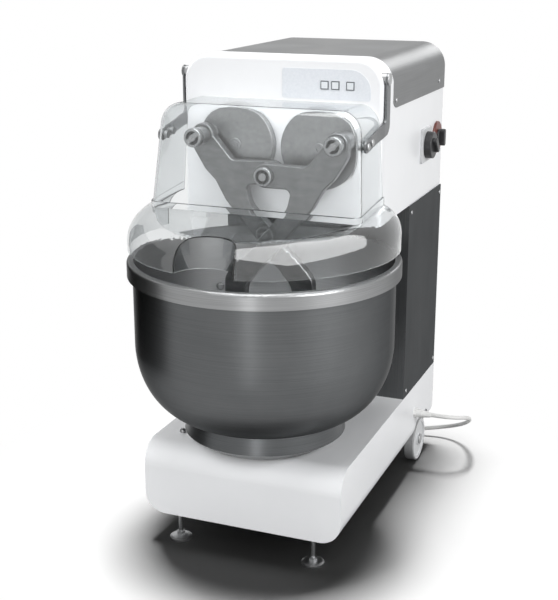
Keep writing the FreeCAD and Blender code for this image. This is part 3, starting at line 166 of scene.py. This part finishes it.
coil_start = Vector((coil_centre.x, coil_centre.y - coil_outer, coil_low))
lead_marks = [
    gland_end + gland_gap,
    gland_end + Vector((0.032, 0.0, 0.0)),
    gland_end + Vector((0.060, 0.015, -0.004)),
    gland_end + Vector((0.076, 0.042, -0.012)),
    gland_end + Vector((0.078, 0.088, -0.030)),
    gland_end + Vector((0.066, 0.146, -0.062)),
    gland_end + Vector((0.034, 0.200, -0.098)),
    gland_end + Vector((-0.022, 0.230, -0.126)),
    coil_start + Vector((0.140, 0.014, 0.0053)),
    coil_start + Vector((0.070, 0.001, 0.0004)),
    coil_start,
]
coil_marks = int(marks_a_turn * all_turns)
lead_marks += [coil_mark(i / marks_a_turn) for i in range(1, coil_marks + 1)]
lead_marks.append(coil_mark(all_turns) + Vector((2 * lead_radius, 0.0, 0.0)))
lead_curve = bpy.data.curves.new("mains_lead", "CURVE")
lead_curve.dimensions = "3D"
lead_curve.bevel_depth = lead_radius
lead_curve.bevel_resolution = 5
lead_curve.use_fill_caps = True
spline = lead_curve.splines.new("NURBS")
spline.points.add(len(lead_marks) - 1)
for point, mark in zip(spline.points, lead_marks):
    point.co = (*mark, 1.0)
spline.order_u = 3
spline.use_endpoint_u = True
spline.resolution_u = 6
lead_curve.materials.append(
    plastic("white_sheath", (0.70, 0.70, 0.69), (0.78, 0.78, 0.77), (0.38, 0.5), 420.0))
mains_lead = bpy.data.objects.new("mains_lead", lead_curve)
scene.collection.objects.link(mains_lead)
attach(mains_lead, "frame")
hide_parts("cord_free", "cord_coil")
dress("cord_plug", plastic("white_plug", (0.68, 0.68, 0.67), (0.76, 0.76, 0.75), (0.42, 0.55), 300.0))
dress("cord_tie", plastic("black_tie", (0.015, 0.015, 0.016), (0.03, 0.03, 0.03), (0.45, 0.6), 500.0))
dress("cable_gland", plastic("white_gland", (0.74, 0.74, 0.73), (0.81, 0.81, 0.80), (0.35, 0.45), 260.0))


# The base is a folded and welded steel shell, sprayed white and baked to a satin gloss.
# The same paint covers the head's casing and its moulded front.
def white_paint():
    material = bpy.data.materials.new("baked_white")
    tree, shader = node_tree(material)
    cloud = object_pattern(tree, (5.0, 5.0, 5.0))
    peel = object_pattern(tree, (520.0, 520.0, 520.0))
    shader.inputs["IOR"].default_value = 1.46
    shader.inputs["Coat Weight"].default_value = 0.25
    shader.inputs["Coat Roughness"].default_value = 0.18
    white = colour_between(tree, cloud, (0.80, 0.81, 0.825), (0.835, 0.845, 0.86))
    tree.links.new(white, shader.inputs["Base Color"])
    uneven_gloss(tree, shader, cloud, 0.36, 0.44)
    surface_bump(tree, shader, peel, 0.03, 0.0003)
    return material


baked_white = white_paint()
for part in ("base_shell", "head_casing", "head_front_cover"):
    dress(part, baked_white)


# Inside the base and column are the floor plate, the welded frame, the bowl's bearing housing,
# the axle brackets and the box with the electrics, all mild steel in grey primer.
def primer():
    material = bpy.data.materials.new("grey_primer")
    tree, shader = node_tree(material)
    blotch = object_pattern(tree, (14.0, 14.0, 14.0))
    grey = colour_between(tree, blotch, (0.13, 0.14, 0.15), (0.2, 0.21, 0.22))
    tree.links.new(grey, shader.inputs["Base Color"])
    uneven_gloss(tree, shader, blotch, 0.5, 0.65)
    surface_bump(tree, shader, blotch, 0.05, 0.0005)
    return material


grey_primer = primer()
for part in ("base_floor_plate", "column_frame", "bowl_bearing_housing", "axle_brackets", "electrical_box"):
    dress(part, grey_primer)


# The levelling feet, axle, shafts, pins and screws are plain machined steel, and the shield's
# straps are a darker steel. Turning and milling leave fine lines that spread the light a little.
def worked_metal(name, dark, light, rough, stretch, anisotropic=0.0, bump=0.04, edge=1.0):
    """Metal with the lines of its working; edge is how bright it stays at a glancing angle."""
    line_share = 0.75
    material = bpy.data.materials.new(name)
    tree, shader = node_tree(material)
    lines = object_pattern(tree, stretch)
    patches = object_pattern(tree, (9.0, 9.0, 9.0))
    shader.inputs["Metallic"].default_value = 1.0
    shader.inputs["Anisotropic"].default_value = anisotropic
    shader.inputs["Specular Tint"].default_value = (edge, edge, edge, 1.0)
    faint = add_node(tree, "ShaderNodeMath", operation="MULTIPLY")
    faint.inputs[1].default_value = 1 - line_share
    tree.links.new(patches, faint.inputs[0])
    blend = add_node(tree, "ShaderNodeMath", operation="MULTIPLY_ADD")
    blend.inputs[1].default_value = line_share
    tree.links.new(lines, blend.inputs[0])
    tree.links.new(faint.outputs["Value"], blend.inputs[2])
    tone = blend.outputs["Value"]
    tree.links.new(colour_between(tree, tone, dark, light), shader.inputs["Base Color"])
    uneven_gloss(tree, shader, tone, *rough)
    surface_bump(tree, shader, lines, bump, 0.0002)
    return material


machined = worked_metal("machined_steel", (0.30, 0.305, 0.31), (0.46, 0.465, 0.47), (0.28, 0.42),
                        (160.0, 160.0, 900.0))
dark_steel = worked_metal("strap_steel", (0.13, 0.135, 0.14), (0.22, 0.225, 0.23), (0.3, 0.45),
                          (90.0, 90.0, 600.0))
for part in ("crank_shaft_left", "crank_shaft_right", "crank_pin_left", "crank_pin_right", "disc_bolt_left",
             "disc_bolt_right", "crank_bearings", "bearing_plates", "cover_screws", "strap_screws",
             "shield_hinge_pins", "rear_axle", "foot_left", "foot_right"):
    dress(part, machined)
dress("shield_straps", dark_steel)


# A small domed stud stands on the base's top, left of the bowl, and a domed bolt head
# shows inside the bowl's rear left wall. Both are pressed steel with a rounded edge.
def domed_stud(name, radius, height, place, heading, body):
    """Models a stud upright at the origin, rounds its top edge, then sets it on its seat."""
    near_top = height * 0.99
    rounding = height * 0.6
    bpy.ops.object.select_all(action="DESELECT")
    bpy.ops.mesh.primitive_cylinder_add(vertices=40, radius=radius, depth=height,
                                        location=(0.0, 0.0, height / 2))
    stud = bpy.context.active_object
    stud.name = name
    bpy.ops.object.transform_apply(location=True, rotation=True, scale=True)
    bpy.ops.object.mode_set(mode="EDIT")
    bpy.ops.mesh.select_all(action="DESELECT")
    bpy.ops.object.mode_set(mode="OBJECT")
    for edge in stud.data.edges:
        edge.select = all(stud.data.vertices[i].co.z > near_top for i in edge.vertices)
    bpy.ops.object.mode_set(mode="EDIT")
    bpy.ops.mesh.select_mode(type="EDGE")
    bpy.ops.mesh.bevel(offset=rounding, segments=5, profile=0.5)
    bpy.ops.object.mode_set(mode="OBJECT")
    bpy.ops.object.shade_smooth_by_angle(angle=math.radians(40))
    turn = Vector(heading).to_track_quat("Z", "Y").to_matrix().to_4x4()
    stud.data.transform(Matrix.Translation(place) @ turn)
    stud.data.materials.append(machined)
    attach(stud, body)


base_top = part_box("base_shell")[1].z
domed_stud("base_stud", radius=0.0065, height=0.009, place=(-0.175, -0.210, base_top),
           heading=(0.0, 0.0, 1.0), body="frame")
domed_stud("bowl_bolt", radius=0.009, height=0.007, place=(-0.1938, 0.0400, 0.497),
           heading=(0.705, -0.709, 0.0), body="bowl")


# Each rear wheel is a white moulded disc with a thin grey rubber tread round it,
# told apart here by the distance from the axle.
def middle_of(part):
    """Middle of a solid's box, which lies on the axis of a round one."""
    low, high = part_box(part)
    return (low + high) / 2


def offset_from(tree, centre):
    """Where a point of the surface lies, seen from centre."""
    place = add_node(tree, "ShaderNodeTexCoord")
    offset = add_node(tree, "ShaderNodeVectorMath", operation="SUBTRACT")
    offset.inputs[1].default_value = centre
    tree.links.new(place.outputs["Object"], offset.inputs[0])
    return offset.outputs["Vector"]


def axis_reach(tree, centre, across):
    """Distance from an axis through centre, measured in the directions across it."""
    flatten = add_node(tree, "ShaderNodeVectorMath", operation="MULTIPLY")
    flatten.inputs[1].default_value = across
    tree.links.new(offset_from(tree, centre), flatten.inputs[0])
    reach = add_node(tree, "ShaderNodeVectorMath", operation="LENGTH")
    tree.links.new(flatten.outputs["Vector"], reach.inputs[0])
    return reach.outputs["Value"]


def mask(tree, measure, comparison, limit):
    """1 where the measure is past the limit, and 0 elsewhere."""
    test = add_node(tree, "ShaderNodeMath", operation=comparison)
    test.inputs[1].default_value = limit
    tree.links.new(measure, test.inputs[0])
    return test.outputs["Value"]


def mixed_colour(tree, share, first, second):
    """Goes from the first colour to the second as the share goes from 0 to 1.

    A colour is another node's output, or three fixed values.
    """
    mix = add_node(tree, "ShaderNodeMix", data_type="RGBA")
    tree.links.new(share, mix.inputs["Factor"])
    for socket, colour in ((mix.inputs["A"], first), (mix.inputs["B"], second)):
        if isinstance(colour, tuple):
            socket.default_value = (*colour, 1.0)
        else:
            tree.links.new(colour, socket)
    return mix.outputs["Result"]


def wheel_finish(wheel, tread_depth):
    low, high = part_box(wheel)
    face_radius = (high.z - low.z) / 2 - tread_depth
    material = bpy.data.materials.new("wheel_face_and_tread")
    tree, shader = node_tree(material)
    reach = axis_reach(tree, middle_of(wheel), (0.0, 1.0, 1.0))
    tread = mask(tree, reach, "GREATER_THAN", face_radius)
    grain = object_pattern(tree, (180.0, 180.0, 180.0))
    face = colour_between(tree, grain, (0.70, 0.71, 0.72), (0.77, 0.78, 0.79))
    rubber = colour_between(tree, grain, (0.30, 0.305, 0.31), (0.38, 0.385, 0.39))
    tree.links.new(mixed_colour(tree, tread, face, rubber), shader.inputs["Base Color"])
    uneven_gloss(tree, shader, grain, 0.45, 0.6)
    surface_bump(tree, shader, grain, 0.05, 0.0004)
    return material


wheel_pair = wheel_finish("wheel_right", tread_depth=0.0035)
for part in ("wheel_left", "wheel_right"):
    dress(part, wheel_pair)


# The column's cover is stainless sheet brushed along its height, and the head's top cover
# is the same sheet brushed along its length, painted lighter as painted light. The rear panel matches the
# column.
# Painted light and shade: the top cover's copy of the sheet is painted lighter than the column's.
shaded_upright_brushed = worked_metal("upright_brushed_sheet", (0.10, 0.104, 0.107), (0.15, 0.154, 0.157),
                               (0.34, 0.46), (900.0, 900.0, 5.0), anisotropic=0.5, edge=0.32)
lit_length_brushed = worked_metal("length_brushed_sheet", (0.19, 0.194, 0.197), (0.27, 0.274, 0.277),
                              (0.32, 0.44), (900.0, 5.0, 900.0), anisotropic=0.5, edge=0.75)
dress("column_cover", shaded_upright_brushed)
dress("rear_cover", shaded_upright_brushed)
dress("head_top_cover", lit_length_brushed)


# The bowl is spun from stainless sheet and brushed while it turns, so its fine lines run round it.
# Its turned-down rim and its inside are painted brighter than the satin outside: a painted highlight on the
# rim and painted light inside the bowl.
# It stands on a conical ring that is turned from steel.
def place_along(tree, axis):
    """How far a point of the surface lies along one axis."""
    place = add_node(tree, "ShaderNodeTexCoord")
    split = add_node(tree, "ShaderNodeSeparateXYZ")
    tree.links.new(place.outputs["Object"], split.inputs["Vector"])
    return split.outputs[axis]


def finish_so_far(material):
    """The tree and the shader of a finish, and the colour that it already has."""
    tree = material.node_tree
    shader = tree.nodes["Principled BSDF"]
    return tree, shader, shader.inputs["Base Color"].links[0].from_socket


def faces_inward(tree, centre):
    """1 on the walls that look towards centre."""
    place = add_node(tree, "ShaderNodeTexCoord")
    facing = add_node(tree, "ShaderNodeVectorMath", operation="DOT_PRODUCT")
    tree.links.new(offset_from(tree, centre), facing.inputs[0])
    tree.links.new(place.outputs["Normal"], facing.inputs[1])
    return mask(tree, facing.outputs["Value"], "LESS_THAN", 0.0)


def spun_bowl(rim_band, mouth_drop):
    bowl_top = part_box("bowl_shell")[1].z
    mouth_centre = middle_of("bowl_shell")
    mouth_centre.z = bowl_top - mouth_drop
    material = worked_metal("spun_bowl_steel", (0.09, 0.094, 0.097), (0.145, 0.149, 0.152), (0.30, 0.42),
                            (4.0, 4.0, 1700.0), anisotropic=0.45, bump=0.02, edge=0.4)
    tree, shader, satin = finish_so_far(material)
    shader.inputs["Anisotropic Rotation"].default_value = 0.25
    sheen = object_pattern(tree, (5.0, 5.0, 900.0))
    # The rim's brighter colour is a painted highlight, and the inside's brighter colour is painted light;
    # both keep the satin's gloss.
    bright = colour_between(tree, sheen, (0.24, 0.244, 0.247), (0.33, 0.334, 0.337))
    painted_light_inside = colour_between(tree, sheen, (0.42, 0.425, 0.43), (0.53, 0.535, 0.54))
    rim = mask(tree, place_along(tree, "Z"), "GREATER_THAN", bowl_top - rim_band)
    outside = mixed_colour(tree, rim, satin, bright)
    inside = faces_inward(tree, mouth_centre)
    tree.links.new(mixed_colour(tree, inside, outside, painted_light_inside), shader.inputs["Base Color"])
    return material


turned_ring = worked_metal("turned_ring_steel", (0.07, 0.074, 0.077), (0.12, 0.124, 0.127), (0.24, 0.36),
                           (6.0, 6.0, 800.0), anisotropic=0.4)
dress("bowl_shell", spun_bowl(rim_band=0.0332, mouth_drop=0.036))
dress("bowl_turntable", turned_ring)


# The drive is hidden in the column: a motor, two belts, pulleys and a closed reducer,
# castings and rubber that only show when the covers are off.
# The bushes in the arms are bronze.
cast_alloy = worked_metal("cast_alloy", (0.40, 0.405, 0.41), (0.55, 0.555, 0.56), (0.34, 0.5),
                          (240.0, 240.0, 240.0), bump=0.1)
belt_rubber = plastic("belt_rubber", (0.012, 0.012, 0.012), (0.03, 0.03, 0.03), (0.6, 0.75), 350.0)
bronze = worked_metal("bush_bronze", (0.46, 0.31, 0.13), (0.60, 0.43, 0.21), (0.3, 0.42),
                      (300.0, 300.0, 300.0))
for part in ("drive_motor", "bowl_reducer", "crank_pulley", "motor_pulley", "reducer_pulley"):
    dress(part, cast_alloy)
for part in ("arm_drive_belt", "bowl_drive_belt"):
    dress(part, belt_rubber)
for part in ("arm_bush_left", "arm_bush_right"):
    dress(part, bronze)


# The cranks are turned alloy discs, and the two arms that hang on their pins
# are satin alloy castings that cross in front of each other.
disc_alloy = worked_metal("turned_disc_alloy", (0.33, 0.335, 0.337), (0.43, 0.435, 0.437), (0.3, 0.42),
                          (120.0, 30.0, 120.0))
arm_alloy = worked_metal("satin_arm_alloy", (0.18, 0.185, 0.187), (0.28, 0.285, 0.287), (0.3, 0.44),
                         (40.0, 40.0, 90.0), anisotropic=0.2)
for part in ("crank_disc_left", "crank_disc_right"):
    dress(part, disc_alloy)
for part in ("mixing_arm_left", "mixing_arm_right"):
    dress(part, arm_alloy)


# A bright turned cap is screwed on each crank pin, and one more covers the pivot
# that the arms share. The pockets milled in their faces are painted near black, as painted shade.
def cap_finish(name, cap):
    pocket_radius = 0.0155
    face_depth = 0.0008
    pocket_painted_shade = (0.03, 0.031, 0.032)
    behind_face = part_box(cap)[0].y + face_depth
    material = worked_metal(name, (0.34, 0.345, 0.347), (0.48, 0.485, 0.487), (0.2, 0.32),
                            (300.0, 60.0, 300.0))
    tree, shader, bright = finish_so_far(material)
    reach = axis_reach(tree, middle_of(cap), (1.0, 0.0, 1.0))
    pocket = add_node(tree, "ShaderNodeMath", operation="MULTIPLY")
    tree.links.new(mask(tree, reach, "LESS_THAN", pocket_radius), pocket.inputs[0])
    tree.links.new(mask(tree, place_along(tree, "Y"), "GREATER_THAN", behind_face), pocket.inputs[1])
    # Inside the pocket the colour is painted near black: painted shade in the hollow.
    face = mixed_colour(tree, pocket.outputs["Value"], bright, pocket_painted_shade)
    tree.links.new(face, shader.inputs["Base Color"])
    return material


for part, name in (("pin_cap_left", "left_cap_alloy"), ("pin_cap_right", "right_cap_alloy"),
                   ("pivot_cap", "pivot_cap_alloy")):
    dress(part, cap_finish(name, part))


# The shield is one clear polycarbonate moulding, polished, with painted shade that darkens its colour
# towards glancing edges.
# It is screwed to the two straps, which swing up on the head's sides. It throws no shadow here.
def show_either(tree, output, share, first, second):
    """Shows the first shader where the share is 0, and the second where it is 1."""
    mix = add_node(tree, "ShaderNodeMixShader")
    tree.links.new(share, mix.inputs["Fac"])
    tree.links.new(first, mix.inputs[1])
    tree.links.new(second, mix.inputs[2])
    tree.links.new(mix.outputs["Shader"], tree.nodes[output].inputs["Surface"])


def clear_moulding():
    edge_painted_shade = (0.34, 0.37, 0.38)
    material = bpy.data.materials.new("clear_polycarbonate")
    tree, shader = node_tree(material)
    wave = object_pattern(tree, (7.0, 7.0, 7.0))
    tint = colour_between(tree, wave, (0.85, 0.865, 0.87), (0.89, 0.905, 0.91))
    # Towards glancing edges the colour turns dark grey: painted shade for the dark outline of the sheet.
    edge = add_node(tree, "ShaderNodeLayerWeight", Blend=0.3)
    cast = mixed_colour(tree, edge.outputs["Facing"], tint, edge_painted_shade)
    tree.links.new(cast, shader.inputs["Base Color"])
    uneven_gloss(tree, shader, wave, 0.0, 0.03)
    shader.inputs["Transmission Weight"].default_value = 1.0
    shader.inputs["IOR"].default_value = 1.58
    path = add_node(tree, "ShaderNodeLightPath")
    through = add_node(tree, "ShaderNodeBsdfTransparent")
    show_either(tree, "Material Output", path.outputs["Is Shadow Ray"],
                shader.outputs["BSDF"], through.outputs["BSDF"])
    return material


dress("shield_shell", clear_moulding())


# A pale plastic film is glued over the head's front, and three square keys stand in it.
# Each key's face is coloured dark in a thin line just inside its edge.
def key_finish(key):
    key_half = 0.00875
    line_width = 0.0019
    line_dark = (0.10, 0.115, 0.125)
    material = plastic(key + "_face", (0.66, 0.69, 0.72), (0.72, 0.745, 0.77), (0.35, 0.45), 300.0)
    tree, shader, pale = finish_so_far(material)
    size = add_node(tree, "ShaderNodeVectorMath", operation="ABSOLUTE")
    tree.links.new(offset_from(tree, middle_of(key)), size.inputs[0])
    split = add_node(tree, "ShaderNodeSeparateXYZ")
    tree.links.new(size.outputs["Vector"], split.inputs["Vector"])
    reach = add_node(tree, "ShaderNodeMath", operation="MAXIMUM")
    tree.links.new(split.outputs["X"], reach.inputs[0])
    tree.links.new(split.outputs["Z"], reach.inputs[1])
    line = mask(tree, reach.outputs["Value"], "GREATER_THAN", key_half - line_width)
    tree.links.new(mixed_colour(tree, line, pale, line_dark), shader.inputs["Base Color"])
    return material


dress("control_panel_film",
      plastic("pale_film", (0.66, 0.69, 0.73), (0.72, 0.745, 0.78), (0.3, 0.4), 240.0, bump=0.02))
for part in ("start_key", "speed_key", "stop_key"):
    dress(part, key_finish(part))


# Two rotary switches stand on the head's right side, their stems through holes in the casing.
# Both have black moulded knobs, one on a square grey plate and one in a round brown bezel.
black_knob = plastic("black_knob", (0.012, 0.012, 0.013), (0.03, 0.03, 0.032), (0.35, 0.5), 420.0)
brown_bezel = plastic("brown_bezel", (0.10, 0.026, 0.02), (0.15, 0.04, 0.03), (0.35, 0.48), 320.0)
grey_plate = plastic("grey_switch_plate", (0.50, 0.51, 0.52), (0.57, 0.58, 0.59), (0.4, 0.5), 320.0)
dress("switch_plate", grey_plate)
dress("selector_bezel", brown_bezel)
for part in ("main_switch_knob", "speed_selector_knob"):
    dress(part, black_knob)


# The studio floor is a wide pale sheet that keeps the machine's shadow close round it
# and fades to plain white further out. It throws only a little light back up.
def seen_directly(tree):
    """1 for rays that show the studio itself: to the camera, in a reflection or through the shield."""
    path = add_node(tree, "ShaderNodeLightPath")
    mirror = add_node(tree, "ShaderNodeMath", operation="ADD", use_clamp=True)
    tree.links.new(path.outputs["Is Glossy Ray"], mirror.inputs[0])
    tree.links.new(path.outputs["Is Transmission Ray"], mirror.inputs[1])
    seen = add_node(tree, "ShaderNodeMath", operation="ADD", use_clamp=True)
    tree.links.new(path.outputs["Is Camera Ray"], seen.inputs[0])
    tree.links.new(mirror.outputs["Value"], seen.inputs[1])
    return seen.outputs["Value"]


def floor_finish(shadow_reach, white_from):
    tone_thrown_back = (0.09, 0.09, 0.09)
    tone_seen = (0.28, 0.28, 0.28)
    material = bpy.data.materials.new("white_studio_floor")
    tree, shader = node_tree(material)
    shader.inputs["Roughness"].default_value = 0.9
    shader.inputs["Specular IOR Level"].default_value = 0.0
    seen = seen_directly(tree)
    tone = mixed_colour(tree, seen, tone_thrown_back, tone_seen)
    tree.links.new(tone, shader.inputs["Base Color"])
    place = add_node(tree, "ShaderNodeTexCoord")
    reach = add_node(tree, "ShaderNodeVectorMath", operation="LENGTH")
    tree.links.new(place.outputs["Object"], reach.inputs[0])
    fade = add_node(tree, "ShaderNodeMapRange", interpolation_type="SMOOTHSTEP")
    fade.inputs["From Min"].default_value = shadow_reach
    fade.inputs["From Max"].default_value = white_from
    tree.links.new(reach.outputs["Value"], fade.inputs["Value"])
    far = add_node(tree, "ShaderNodeMath", operation="MULTIPLY")
    tree.links.new(seen, far.inputs[0])
    tree.links.new(fade.outputs["Result"], far.inputs[1])
    white = add_node(tree, "ShaderNodeEmission", Strength=1.0)
    show_either(tree, "Material Output", far.outputs["Value"],
                shader.outputs["BSDF"], white.outputs["Emission"])
    return material


bpy.ops.object.select_all(action="DESELECT")
bpy.ops.mesh.primitive_plane_add(size=60.0, location=(0.0, 0.0, -0.0005))
studio_floor = bpy.context.active_object
studio_floor.name = "studio_floor"
studio_floor.data.materials.append(floor_finish(shadow_reach=0.45, white_from=0.82))


# A black card stands left of the machine, out of the picture, where a studio hangs a flag.
# Only reflections show it, and they darken the bowl's steel towards its left side.
bpy.ops.mesh.primitive_plane_add(size=1.0, location=(-1.1, -0.2, 0.6),
                                 rotation=(0.0, math.radians(90), 0.0))
dark_card = bpy.context.active_object
dark_card.name = "dark_card"
dark_card.scale = (1.2, 1.2, 1.0)
card_black = bpy.data.materials.new("card_black")
card_shader = node_tree(card_black)[1]
card_shader.inputs["Base Color"].default_value = (0.01, 0.01, 0.01, 1.0)
card_shader.inputs["Roughness"].default_value = 0.9
dark_card.data.materials.append(card_black)
dark_card.visible_camera = False
dark_card.visible_diffuse = False
dark_card.visible_transmission = False
dark_card.visible_shadow = False


# Seven soft lamps round the machine light it alone, and its steel mirrors four of them.
# One broad lamp lights only the clear shield, and one high above lights only the floor,
# where it draws the shadow.
def soft_lamp(name, place, aim, size, watts):
    lamp_data = bpy.data.lights.new(name, "AREA")
    lamp_data.shape = "RECTANGLE"
    lamp_data.size, lamp_data.size_y = size
    lamp_data.energy = watts
    lamp = bpy.data.objects.new(name, lamp_data)
    scene.collection.objects.link(lamp)
    away = (Vector(place) - Vector(aim)).normalized()
    lamp.matrix_world = Matrix.Translation(place) @ away.to_track_quat("Z", "Y").to_matrix().to_4x4()
    return lamp


def light_only(name, lamps, receivers):
    """Lets lamps light these objects and nothing else."""
    lit = bpy.data.collections.new(name)
    for item in receivers:
        lit.objects.link(item)
    for lamp in lamps:
        lamp.light_linking.receiver_collection = lit


plain_lamps = [
    soft_lamp("left_softbox", (-2.4, -0.3, 1.9), (0.0, -0.2, 0.3), (1.2, 1.6), 46.0),
    soft_lamp("left_front_softbox", (-2.0, -2.2, 2.6), (0.0, -0.1, 0.5), (1.4, 2.0), 24.0),
    soft_lamp("low_softbox", (-0.25, -1.9, 0.25), (0.0, -0.4, 0.15), (0.6, 0.4), 9.5),
]
mirrored_lamps = [
    soft_lamp("low_strip", (0.42, -2.4, 0.45), (0.0, -0.2, 0.40), (0.22, 1.1), 4.5),
    soft_lamp("right_softbox", (3.0, -1.0, 1.8), (0.0, 0.0, 0.6), (1.6, 2.0), 94.0),
    soft_lamp("back_softbox", (0.52, 2.6, 1.8), (0.2, 0.2, 1.0), (0.9, 0.6), 8.0),
    soft_lamp("overhead_softbox", (-0.1, -0.4, 3.0), (0.0, -0.3, 0.5), (2.4, 1.2), 46.0),
]
shield_lamp = soft_lamp("shield_softbox", (0.9, -0.5, 2.6), (0.15, -0.35, 0.7), (3.6, 3.4), 150.0)
floor_lamp = soft_lamp("floor_lamp", (-0.4, 0.4, 8.0), (0.0, 0.0, 0.0), (1.9, 1.9), 2400.0)
for lamp in plain_lamps + [floor_lamp]:
    lamp.visible_glossy = False
shield = nodes["shield_shell"]
surfaces = [item for item in scene.objects if item.type in ("MESH", "CURVE")]
machine = [item for item in surfaces if item not in (studio_floor, dark_card, shield)]
light_only("lit_by_fill_lamps", plain_lamps + mirrored_lamps, machine)
light_only("lit_by_shield_lamp", [shield_lamp], [shield])
light_only("lit_by_floor_lamp", [floor_lamp], [studio_floor])


# The backdrop is plain white wherever it is seen, also in steel and through the shield.
# On the machine it casts only a faint even light.
pure_white = (1.0, 1.0, 1.0, 1.0)
world = bpy.data.worlds.new("white_studio")
scene.world = world
world.use_nodes = True
world_tree = world.node_tree
faint_light = world_tree.nodes["Background"]
faint_light.inputs["Color"].default_value = pure_white
faint_light.inputs["Strength"].default_value = 0.09
backdrop = add_node(world_tree, "ShaderNodeBackground", Color=pure_white, Strength=1.0)
show_either(world_tree, "World Output", seen_directly(world_tree),
            faint_light.outputs["Background"], backdrop.outputs["Background"])
